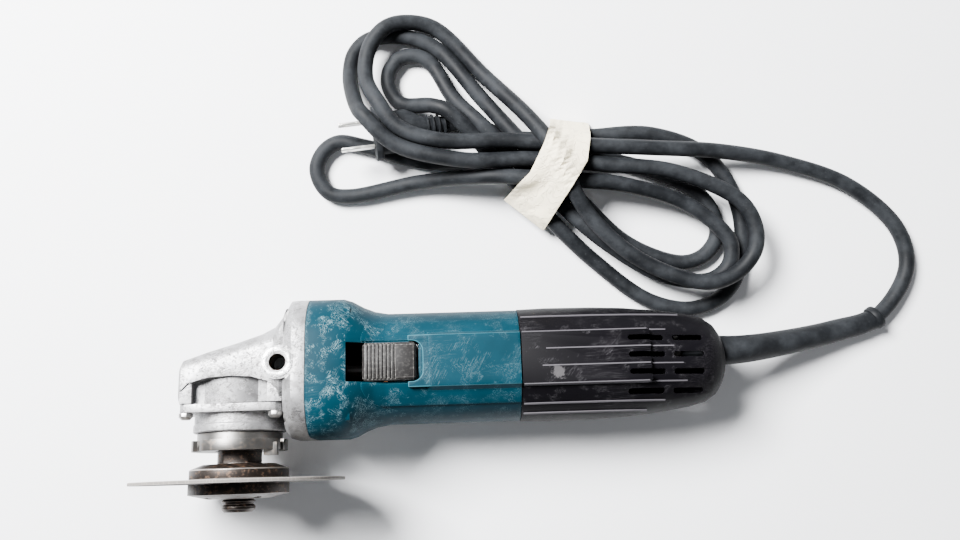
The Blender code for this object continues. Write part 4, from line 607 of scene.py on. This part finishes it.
def lead_rubber(name):
    """Matt charcoal rubber with dust and rubbed streaks."""
    paint = Paint(name, False)
    lead = bpy.context.scene.grinder_lead
    dust = paint.step(paint.noise(18 * MM, 5.0, 0.7), 0.36, 0.72)
    speck = paint.step(paint.noise(0.9 * MM, 4.0, 0.7), 0.60, 0.70)
    nick = paint.step(paint.noise(3.2 * MM, 5.0, 0.8, twist=1.2), 0.70, 0.74)
    grain = paint.noise(0.3 * MM, 3.0)
    colour = paint.mix(dust * 0.5, lead.colour, lead.dust)
    colour = paint.mix(speck * 0.10 + nick * 0.30, colour, (0.12, 0.125, 0.13))
    rough = 0.50 + dust * 0.2 + grain * 0.1
    return paint.finish(colour, rough, 0.0, grain * 0.4 + speck * 0.2 + dust * 0.2, 0.05 * MM, gloss=0.12)


def tape_paper(name):
    """Creped cream paper, soiled here and there, with painted shade along its creases."""
    paint = Paint(name, False)
    tape = bpy.context.scene.grinder_lead.tape
    crepe = paint.noise(1.0, 3.0, 0.6, paint.stretched((2.6 * MM, 0.5 * MM, 1.2 * MM), (0, 0, 25)))
    crease = 1 - paint.step(abs(paint.noise(7 * MM, 3.0, 0.5, twist=1.0) - 0.5), 0.0, 0.035)
    soil = paint.step(paint.noise(9 * MM, 5.0, 0.7), 0.52, 0.75)
    colour = paint.mix(crepe * 0.3, tape, [0.82 * value for value in tape])
    colour = paint.mix(soil * 0.35, colour, (0.50, 0.47, 0.40))
    # Painted shade: the thin crease lines are mixed darker.
    colour = paint.mix(crease * 0.3, colour, (0.52, 0.47, 0.38))
    return paint.finish(colour, 0.72 + crepe * 0.15, 0.0, crepe * 0.5 + crease * 0.8, 0.22 * MM)


def bright_steel(name, edge=0.0):
    """Turned steel with fine rings and finger marks."""
    paint = Paint(name)
    rings = paint.rings(0.25 * MM)
    smudge = paint.noise(6 * MM, 4.0, 0.65)
    spots = paint.step(paint.noise(1.3 * MM, 4.0, 0.7), 0.62, 0.70)
    colour = paint.mix(smudge, (0.24, 0.235, 0.23), (0.46, 0.455, 0.445))
    colour = paint.mix(spots * 0.5, colour, (0.17, 0.14, 0.12))
    colour = paint.mix(edge * 0.6, colour, (0.80, 0.79, 0.77))
    return paint.finish(colour, 0.26 + smudge * 0.2, 0.95, rings * 0.6 - spots * 0.4, 0.03 * MM)


def brown_steel(name, edge=0.0):
    """Blackened steel gone brown, with rust in its hollows and worn rims."""
    paint = Paint(name)
    base = bpy.context.scene.grinder_finish.rust
    rings = paint.rings(0.4 * MM)
    cloud = paint.noise(5 * MM, 5.0, 0.7)
    rust = paint.step(paint.noise(2.4 * MM, 5.0, 0.75), 0.52, 0.66)
    pits = paint.step(paint.noise(0.8 * MM, 3.0, 0.7), 0.60, 0.68)
    colour = paint.mix(cloud, [0.45 * value for value in base], [1.5 * value for value in base])
    colour = paint.mix(rust * 0.5, colour, (0.16, 0.085, 0.045))
    colour = paint.mix(pits * 0.4, colour, (0.03, 0.022, 0.018))
    colour = paint.mix(edge * 0.55, colour, (0.40, 0.36, 0.33))
    rough = 0.40 + rust * 0.25 + cloud * 0.1 - 0.08 * edge
    return paint.finish(colour, rough, 0.75 - rust * 0.4, rings * 0.4 + rust * 0.5 - pits * 0.4, 0.07 * MM)


def collar_steel(name, edge=0.0):
    """Plated steel of the guard's collar, tinted brown by heat and grease."""
    paint = Paint(name)
    rings = paint.rings(0.3 * MM)
    cloud = paint.noise(9 * MM, 4.0, 0.65)
    grease = paint.step(paint.noise(4 * MM, 5.0, 0.7), 0.5, 0.66)
    colour = paint.mix(cloud, (0.06, 0.057, 0.054), (0.16, 0.156, 0.15))
    colour = paint.mix(grease * 0.45, colour, (0.16, 0.12, 0.09))
    colour = paint.mix(edge * 0.6, colour, (0.48, 0.47, 0.445))
    rough = 0.30 + cloud * 0.15 + grease * 0.15
    return paint.finish(colour, rough, 0.9, rings * 0.5 + grease * 0.2, 0.04 * MM)


def disc_face(name, edge=0.0):
    """Bonded grit, rubbed in rings, with its glass-fibre net showing."""
    paint = Paint(name)
    base = bpy.context.scene.grinder_finish.disc
    grit = paint.noise(0.5 * MM, 3.0, 0.8)
    rings = paint.rings(1.1 * MM)
    net = paint.along("X", 1.3 * MM, 0.4) * paint.along("Z", 1.3 * MM, 0.4)
    dark = [0.4 * value for value in base]
    colour = paint.mix(paint.step(grit, 0.35, 0.65), dark, base)
    colour = paint.mix(rings * 0.35, colour, (0.30, 0.28, 0.26))
    colour = paint.mix(paint.step(net, 0.55, 0.85) * 0.25, colour, (0.36, 0.33, 0.28))
    colour = paint.mix(edge * 0.5, colour, (0.38, 0.36, 0.34))
    return paint.finish(colour, 0.72 + grit * 0.2, 0.0, grit * 0.7 + net * 0.3, 0.14 * MM)


def wound_copper(name):
    """Varnished wire, wound side by side, with painted shade in the gaps between the turns."""
    paint = Paint(name)
    wires = paint.along("DIAGONAL", 0.7 * MM, 1.2)
    varnish = paint.noise(6 * MM, 4.0, 0.6)
    colour = paint.mix(varnish, (0.32, 0.085, 0.025), (0.62, 0.24, 0.09))
    # Painted shade: the gaps between the turns are mixed dark.
    colour = paint.mix((1 - wires) * 0.7, colour, (0.10, 0.03, 0.012))
    return paint.finish(colour, 0.26 + varnish * 0.15, 0.6, wires, 0.25 * MM, coat=0.4)


def commutator_copper(name):
    """Copper bars rubbed by the brushes."""
    paint = Paint(name)
    rub = paint.noise(1.0, 3.0, 0.6, paint.stretched((0.5 * MM, 9 * MM, 9 * MM)))
    soot = paint.step(paint.noise(4 * MM, 4.0, 0.7), 0.48, 0.66)
    colour = paint.mix(rub, (0.55, 0.24, 0.10), (0.78, 0.42, 0.22))
    colour = paint.mix(soot * 0.6, colour, (0.10, 0.06, 0.04))
    return paint.finish(colour, 0.28 + soot * 0.25, 0.95, rub, 0.03 * MM)


def plain_brass(name):
    """Brushed brass with dark tarnish."""
    paint = Paint(name)
    brush = paint.noise(1.0, 3.0, 0.6, paint.stretched((7 * MM, 0.3 * MM, 0.3 * MM)))
    tarnish = paint.step(paint.noise(4 * MM, 4.0, 0.7), 0.5, 0.7)
    colour = paint.mix(brush, (0.58, 0.38, 0.12), (0.80, 0.60, 0.26))
    colour = paint.mix(tarnish * 0.5, colour, (0.25, 0.15, 0.06))
    return paint.finish(colour, 0.26 + tarnish * 0.22, 0.95, brush, 0.02 * MM)


def blade_plating(name, edge=0.0):
    """Bright plating of the plug's blades, with slide marks."""
    paint = Paint(name, False)
    marks = paint.scores(9 * MM, 0.35 * MM, (0, 0, 7), 0.05, 0.45)
    smudge = paint.noise(4 * MM, 4.0, 0.6)
    colour = paint.mix(smudge, (0.48, 0.47, 0.44), (0.74, 0.73, 0.69))
    colour = paint.mix(marks * 0.4, colour, (0.30, 0.27, 0.22))
    colour = paint.mix(edge * 0.5, colour, (0.85, 0.84, 0.80))
    return paint.finish(colour, 0.24 + smudge * 0.2, 0.95, marks + smudge * 0.3, 0.02 * MM)


def pressed_carbon(name):
    """Grainy pressed carbon with a rubbed end."""
    paint = Paint(name)
    grain = paint.noise(0.4 * MM, 4.0, 0.75)
    cloud = paint.noise(4 * MM, 3.0)
    colour = paint.mix(grain, (0.012, 0.012, 0.013), (0.07, 0.07, 0.072))
    return paint.finish(colour, 0.45 + cloud * 0.25, 0.3, grain, 0.06 * MM)


def stacked_sheets(name):
    """Thin steel sheets stacked along the motor, varnished."""
    paint = Paint(name)
    sheets = paint.along("X", 0.6 * MM, 0.0)
    rust = paint.step(paint.noise(5 * MM, 5.0, 0.7), 0.5, 0.68)
    colour = paint.mix(sheets, (0.10, 0.10, 0.105), (0.36, 0.36, 0.37))
    colour = paint.mix(rust * 0.45, colour, (0.20, 0.12, 0.07))
    return paint.finish(colour, 0.38 + rust * 0.2, 0.85, sheets, 0.12 * MM)


def floor_sheet(name):
    """Matt pale board, nearly even."""
    paint = Paint(name, False)
    cloud = paint.noise(0.25, 4.0, 0.6)
    grain = paint.noise(1.2 * MM, 2.0)
    base = bpy.context.scene.grinder_stage.floor
    colour = paint.mix(cloud, [0.97 * value for value in base], base)
    return paint.finish(colour, 0.55 + grain * 0.1, 0.0, grain, 0.01 * MM)


FINISHES = {
    "cast_aluminium": cast_metal, "teal_plastic": shell_plastic, "black_plastic": cover_plastic,
    "steel": bright_steel, "worn_steel": brown_steel, "abrasive": disc_face, "copper": wound_copper,
    "brass": plain_brass, "carbon": pressed_carbon, "laminations": stacked_sheets,
}
SHELF = {}


def finish_for(maker, edge=0.0):
    """A finish from its maker, mixed once and shared. Edge 1 is its worn form, for rubbed edges."""
    name = maker.__name__ + ("_worn" if edge else "")
    if name not in SHELF:
        SHELF[name] = maker(name, edge) if edge else maker(name)
    return SHELF[name]


def pair(maker):
    return finish_for(maker), finish_for(maker, 1.0)


# ---------------------------------------------------------------- operators
class GRINDER_OT_stage(bpy.types.Operator):
    """Floor, lamps and camera"""
    bl_idname = "grinder.stage"
    bl_label = "Stage"

    def execute(self, context):
        stage = context.scene.grinder_stage
        only()
        bpy.ops.mesh.primitive_plane_add(size=4, location=(0, 0, 0))
        floor = take("floor")
        edit(floor, action="SELECT")
        bpy.ops.mesh.subdivide(number_cuts=3)
        done()
        floor.data.materials.append(floor_sheet("floor_sheet"))
        only(floor)
        bpy.ops.object.transform_apply(location=True, rotation=True, scale=True)
        world = bpy.data.worlds.new("room")
        world.use_nodes = True
        back = world.node_tree.nodes["Background"]
        back.inputs["Color"].default_value = (0.93, 0.95, 1.0, 1)
        back.inputs["Strength"].default_value = stage.sky
        context.scene.world = world
        lamps = (("window", (-0.62, 0.66, 1.0), 0.5, stage.lamp), ("bounce", (0.75, -0.35, 0.8), 1.2, 1.5))
        for name, place, size, power in lamps:
            bpy.ops.object.light_add(type="AREA", location=place)
            lamp = bpy.context.object
            lamp.name = name
            lamp.data.size = size
            lamp.data.energy = power
            lamp.rotation_euler = (LAMP_TARGET - Vector(place)).to_track_quat("-Z", "Y").to_euler()
        bpy.ops.object.camera_add(location=(*CAMERA_AT, stage.height), rotation=(0, 0, CAMERA_TURN))
        camera = bpy.context.object
        camera.data.lens = CAMERA_LENS
        camera.data.sensor_width = 36
        camera.data.clip_start = 0.01
        context.scene.camera = camera
        return {"FINISHED"}


class GRINDER_OT_lead(bpy.types.Operator):
    """The mains lead, its guard, its plug and the tape round the bundle"""
    bl_idname = "grinder.lead"
    bl_label = "Lead"

    def execute(self, context):
        sizes = context.scene.grinder_lead
        rubber = finish_for(lead_rubber)
        guard_line, line = lead_line()
        lead = round_line("mains_lead", line, sizes.thickness / 2, 5)
        lead.data.materials.append(rubber)
        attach(lead, "housing")
        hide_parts("power_cord")
        self.guard(guard_line, rubber)
        pieces = self.plug(rubber) + [self.tape(sizes)]
        length = sum((two - one).length for one, two in zip(line, line[1:]))
        return {"FINISHED"}

    def guard(self, line, rubber):
        """The long tapered guard: a flange inside the cover, a taper, and a rounded bead at its tip."""
        lengths = [0.0]
        for one, two in zip(line, line[1:]):
            lengths.append(lengths[-1] + (two - one).length)
        total = lengths[-1]
        inner = ((-5 * MM, FLANGE_R), (-2.5 * MM, FLANGE_R), (-2.3 * MM, GUARD_R))
        ahead = (line[1] - line[0]).normalized()
        points = [line[0] + ahead * at for at, _ in inner]
        radii = [radius for _, radius in inner]
        taper = total - BEAD_LENGTH
        for at, point in zip(lengths, line):
            if total - at >= BEAD_LENGTH:
                points.append(point)
                radii.append(GUARD_R + (GUARD_TIP_R - GUARD_R) * min(1.0, at / taper))
        back = (line[-2] - line[-1]).normalized()
        for left, radius in BEAD:
            points.append(line[-1] + back * left * MM)
            radii.append(radius * MM)
        piece = tube("lead_guard", points, radii)
        dress(piece, "housing", "rubber", rubber)
        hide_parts("cord_guard")

    def plug(self, rubber):
        """The moulded plug with ribs where the lead goes in, and its two holed blades."""
        body = skin("plug_body", rubber, width=0.5 * MM)
        ahead = (PLUG_FACE - PLUG_ENTRY).normalized()
        across = Vector((0, 0, 1)).cross(ahead).normalized()
        frame_of_plug = Matrix((ahead, across, ahead.cross(across))).transposed().to_4x4()
        place = Matrix.Translation(PLUG_ENTRY) @ frame_of_plug
        points, radii = [], []
        for rib in range(4):
            start = (1.0 + PLUG_RIB_GAP * rib) * MM
            for at, radius in PLUG_RIB:
                points.append(place @ Vector((start + at * MM, 0, 0)))
                radii.append(radius * MM)
        ribs = tube("plug_ribs", points, radii)
        dress(ribs, "housing", "rubber", rubber)
        pieces = [body, ribs]
        length = (PLUG_FACE - PLUG_ENTRY).length
        for index, side in enumerate((-1, 1), 1):
            def drill(piece, side=side):
                middle = (length + BLADE_HOLE, side * BLADE_APART / 2, 0)
                turn = Matrix.Translation(middle) @ Matrix.Rotation(math.radians(90), 4, "X")
                carve(piece, bar("hole", 1.5 * MM, -3 * MM, 3 * MM, place @ turn, 20))
            pieces.append(skin(f"plug_blade_{index}", *pair(blade_plating), width=0.2 * MM, change=drill))
        return pieces

    def tape(self, sizes):
        """Paper tape: the CAD strip, divided finer and creased."""
        piece = copy_of("cord_tape")
        edit(piece, action="SELECT")
        bpy.ops.mesh.subdivide(number_cuts=4, smoothness=0.25)
        done()
        for size, share in ((0.011, 1.0), (0.0035, 0.35)):
            clouds = bpy.data.textures.new("creases", "CLOUDS")
            clouds.noise_scale = size
            clouds.noise_depth = 1
            modify(piece, "DISPLACE", texture=clouds, texture_coords="LOCAL", direction="Z",
                   mid_level=0.45, strength=sizes.wrinkle * share)
        smooth_off(piece, 55)
        dress(piece, "housing", "tape_paper", finish_for(tape_paper))
        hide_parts("cord_tape")
        return piece


class GRINDER_OT_head(bpy.types.Operator):
    """Gear housing, bearing box, guard collar and their screws"""
    bl_idname = "grinder.head"
    bl_label = "Head"

    def execute(self, context):
        skin("gear_housing", *pair(cast_metal), width=0.55 * MM, angle=24, segments=3)
        skin("bearing_box", *pair(cast_metal), width=0.4 * MM)
        skin("guard_collar", *pair(collar_steel), width=0.3 * MM)
        self.posts()
        self.bosses()
        self.dome()
        for name in sorted(frame["nodes"]):
            if "screw" in name:
                skin(name, *pair(bright_steel), width=0.35 * MM)
        return {"FINISHED"}

    def posts(self):
        """Cast posts that the bearing box's four screws go up into."""
        for number, (x, side) in enumerate(((-1, 1), (-1, -1), (1, 1), (1, -1)), 1):
            low, high = sorted((side * POST_IN, side * POST_OUT))
            start, end = POST_FRONT if x < 0 else POST_BACK
            piece = block(f"screw_post_{number}", (start, -POST_IN, low), (end, POST_TOP, high))
            bore = bar("bore", POST_BORE_R, 4 * MM, 20 * MM,
                       TOOL @ SPINDLE @ Matrix.Translation((x * POST_SCREW, side * POST_SCREW, 0)))
            carve(piece, bore)
            bevel(piece, 1.6 * MM, 4, 60)
            smooth_off(piece)
            dress(piece, "housing", "cast_aluminium", finish_for(cast_metal))

    def bosses(self):
        """Machined rings and threads of the two side-handle holes."""
        for number, side in enumerate((1, -1), 1):
            turned = Matrix.Rotation(0 if side > 0 else math.pi, 4, "X")
            place = TOOL @ Matrix.Translation(BOSS_AT) @ turned
            ring = bar(f"boss_ring_{number}", BOSS_RING_R, BOSS_FACE - 0.35 * MM, BOSS_FACE, place, 48)
            carve(ring, bar("mouth", BOSS_MOUTH_R, 30 * MM, 32 * MM, place, 48))
            bevel(ring, 0.25 * MM, 2, 50)
            smooth_off(ring)
            dress(ring, "housing", "cast_aluminium", finish_for(cast_metal, 1.0))
            turns = []
            for turn in range(8):
                only()
                bpy.ops.mesh.primitive_torus_add(
                    major_segments=32, minor_segments=6, major_radius=4.0 * MM,
                    minor_radius=0.42 * MM, location=(0, 0, (29.6 - THREAD_PITCH * turn) * MM))
                turns.append(take("turn"))
            only(*turns)
            bpy.ops.object.join()
            thread = take(f"boss_thread_{number}")
            settle(thread, place)
            smooth_off(thread)
            dress(thread, "housing", "cast_aluminium", finish_for(brown_steel))

    def dome(self):
        """Small round plug on the flange's top."""
        only()
        bpy.ops.mesh.primitive_uv_sphere_add(segments=28, ring_count=14, radius=2.9 * MM, location=DOME_AT)
        piece = take("flange_dome")
        edit(piece)
        pick(piece, "faces", lambda at, face: at.y < -0.2 * MM)
        bpy.ops.mesh.delete(type="FACE")
        pick(piece, "edges", lambda at, edge: edge.is_boundary)
        bpy.ops.mesh.edge_face_add()
        bpy.ops.mesh.select_all(action="SELECT")
        bpy.ops.transform.resize(value=(1.0, 0.8, 1.0), center_override=(0, 0, 0))
        done()
        settle(piece)
        smooth_off(piece)
        dress(piece, "housing", "cast_aluminium", finish_for(cast_metal))


class GRINDER_OT_shell(bpy.types.Operator):
    """Motor housing with its raised panels"""
    bl_idname = "grinder.shell"
    bl_label = "Motor housing"

    def execute(self, context):
        trim = context.scene.grinder_trim
        shell = skin("motor_housing", *pair(shell_plastic), width=0.5 * MM, angle=26)
        panel = flat_strip("shell_panel", (PANEL_FRONT - 0.1 * MM, 135.0 * MM),
                           (-trim.panel_half, trim.panel_half), (62, 24))
        edit(panel)
        pick(panel, "faces", lambda at, face: at.x < 88.2 * MM and abs(at.y) < 9.6 * MM)
        bpy.ops.mesh.delete(type="FACE")
        done()
        lay_on(panel, shell, trim.panel_rise)
        mould = block("mould", (PANEL_FRONT, -trim.panel_half - MM, 0),
                      (150 * MM, trim.panel_half + MM, 50 * MM))
        self.round_corners(mould, PANEL_FRONT, 11 * MM, 12)
        carve(panel, mould, "INTERSECT")
        self.finish_panel(panel, 0.3 * MM)
        self.plate()
        return {"FINISHED"}

    def round_corners(self, piece, x, radius, segments):
        """Round the two upright edges of a block that stand at x on the tool's axes."""
        edit(piece, "EDGE")
        face, along, up = TOOL @ Vector((x, 0, 0)), TOOL.col[0].to_3d(), TOOL.col[2].to_3d()
        pick(piece, "edges", lambda at, edge: abs((at - face).dot(along)) < 0.1 * MM
             and abs((edge.verts[0].co - edge.verts[1].co).normalized().dot(up)) > 0.9)
        bpy.ops.mesh.bevel(offset=radius, segments=segments, affect="EDGES", clamp_overlap=False)
        done()

    def finish_panel(self, piece, width):
        coat(piece, pair(shell_plastic))
        bevel(piece, width, 2, 40, material=1)
        smooth_off(piece)
        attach(piece, "housing")

    def plate(self):
        """The flat raised plate behind the switch, scooped out round its knob."""
        plate = block("shell_plate", (82.6 * MM, -PLATE_HALF, 25.0 * MM), (135.1 * MM, PLATE_HALF, 28.4 * MM))
        scoop = block("scoop", (70 * MM, -SCOOP_HALF, 20 * MM), (SCOOP_BACK, SCOOP_HALF, 40 * MM))
        self.round_corners(scoop, SCOOP_BACK, 5 * MM, 8)
        carve(plate, scoop)
        self.finish_panel(plate, 0.35 * MM)


class GRINDER_OT_cover(bpy.types.Operator):
    """Rear cover with its vents and thin ribs, the ribs painted lighter as highlight lines"""
    bl_idname = "grinder.cover"
    bl_label = "Rear cover"

    def execute(self, context):
        trim = context.scene.grinder_trim
        cover = skin("rear_cover", *pair(cover_plastic), width=0.45 * MM, angle=26)
        ribs = []
        half = trim.rib_width / 2
        for across, start, end in COVER_RIBS:
            rib = flat_strip("cover_rib", (start * MM, end * MM),
                             (across * MM - half, across * MM + half), (trim.rib_steps, 1))
            lay_on(rib, cover, 0.28 * MM)
            ribs.append(rib)
        only(*ribs)
        bpy.ops.object.join()
        piece = take("cover_ribs")
        smooth_off(piece, 50)
        # The ribs, along the cover's ribs and its panel edges, take the lighter worn finish whole: partly
        # rubbed wear, partly a painted highlight line on each.
        dress(piece, "housing", "black_plastic", finish_for(cover_plastic, 1.0))
        return {"FINISHED"}


class GRINDER_OT_controls(bpy.types.Operator):
    """Slide switch knob and spindle lock button"""
    bl_idname = "grinder.controls"
    bl_label = "Controls"

    def execute(self, context):
        skin("slide_knob", *pair(knob_plastic), width=0.11 * MM, segments=1)
        skin("lock_cap", *pair(knob_plastic), width=0.3 * MM)
        self.spring()
        return {"FINISHED"}

    def spring(self):
        """The button's spring, on a mesh of its own. How much of it stays when the button is in is worked
        out, but nothing closes it up.
        """
        press = next(joint for joint in frame["joints"] if joint["name"] == "lock_pin_press")
        way = Vector(press["axis"]).normalized()
        piece = skin("lock_spring", finish_for(bright_steel), width=0.05 * MM, segments=1)
        heights = [way.dot(vert.co) for vert in piece.data.vertices]
        length = max(heights) - min(heights)
        keep = 1 - press["range_m"][1] / length
        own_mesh(piece)


class GRINDER_OT_wheel(bpy.types.Operator):
    """Spindle, cutting disc and the flange and nut that clamp it"""
    bl_idname = "grinder.wheel"
    bl_label = "Wheel"

    def execute(self, context):
        skin("spindle", *pair(brown_steel), width=0.25 * MM)
        skin("inner_flange", *pair(brown_steel), width=0.4 * MM)
        skin("lock_nut", *pair(brown_steel), width=0.4 * MM)
        skin("cutting_disc", *pair(disc_face), width=0.25 * MM)
        return {"FINISHED"}


class GRINDER_OT_inside(bpy.types.Operator):
    """Finishes of the pieces held inside"""
    bl_idname = "grinder.inside"
    bl_label = "Inside"

    def execute(self, context):
        special = {"commutator": commutator_copper, "switch_rod": knob_plastic, "cord_clamp": knob_plastic}
        for name, node in frame["nodes"].items():
            if node.hide_render:
                continue
            finish = finish_for(special.get(name) or FINISHES.get(CAD_SLOT[name], lead_rubber))
            for slot in node.material_slots:
                slot.material = finish
        return {"FINISHED"}


class GRINDER_PT_sidebar(bpy.types.Panel):
    """Shows the grinder's settings and the buttons of its building steps"""
    bl_idname = "GRINDER_PT_sidebar"
    bl_label = "Angle grinder"
    bl_space_type = "VIEW_3D"
    bl_region_type = "UI"
    bl_category = "Grinder"

    def draw(self, context):
        for group in (context.scene.grinder_lead, context.scene.grinder_finish,
                      context.scene.grinder_trim, context.scene.grinder_stage):
            for key in group.__annotations__:
                self.layout.prop(group, key)
        for operator in OPERATORS:
            self.layout.operator(operator.bl_idname)


GROUPS = {"grinder_lead": GrinderLead, "grinder_finish": GrinderFinish, "grinder_trim": GrinderTrim,
          "grinder_stage": GrinderStage}
OPERATORS = (GRINDER_OT_stage, GRINDER_OT_lead, GRINDER_OT_head, GRINDER_OT_shell, GRINDER_OT_cover,
             GRINDER_OT_controls, GRINDER_OT_wheel, GRINDER_OT_inside)


def register():
    for group in GROUPS.values():
        bpy.utils.register_class(group)
    for name, group in GROUPS.items():
        setattr(bpy.types.Scene, name, PointerProperty(type=group))
    for operator in OPERATORS:
        bpy.utils.register_class(operator)
    bpy.utils.register_class(GRINDER_PT_sidebar)


def unregister():
    bpy.utils.unregister_class(GRINDER_PT_sidebar)
    for operator in reversed(OPERATORS):
        bpy.utils.unregister_class(operator)
    for name, group in GROUPS.items():
        delattr(bpy.types.Scene, name)
        bpy.utils.unregister_class(group)


def main():
    register()
    only()
    bpy.ops.grinder.stage()
    bpy.ops.grinder.lead()
    bpy.ops.grinder.head()
    bpy.ops.grinder.shell()
    bpy.ops.grinder.cover()
    bpy.ops.grinder.controls()
    bpy.ops.grinder.wheel()
    bpy.ops.grinder.inside()


if __name__ == "__main__":
    main()
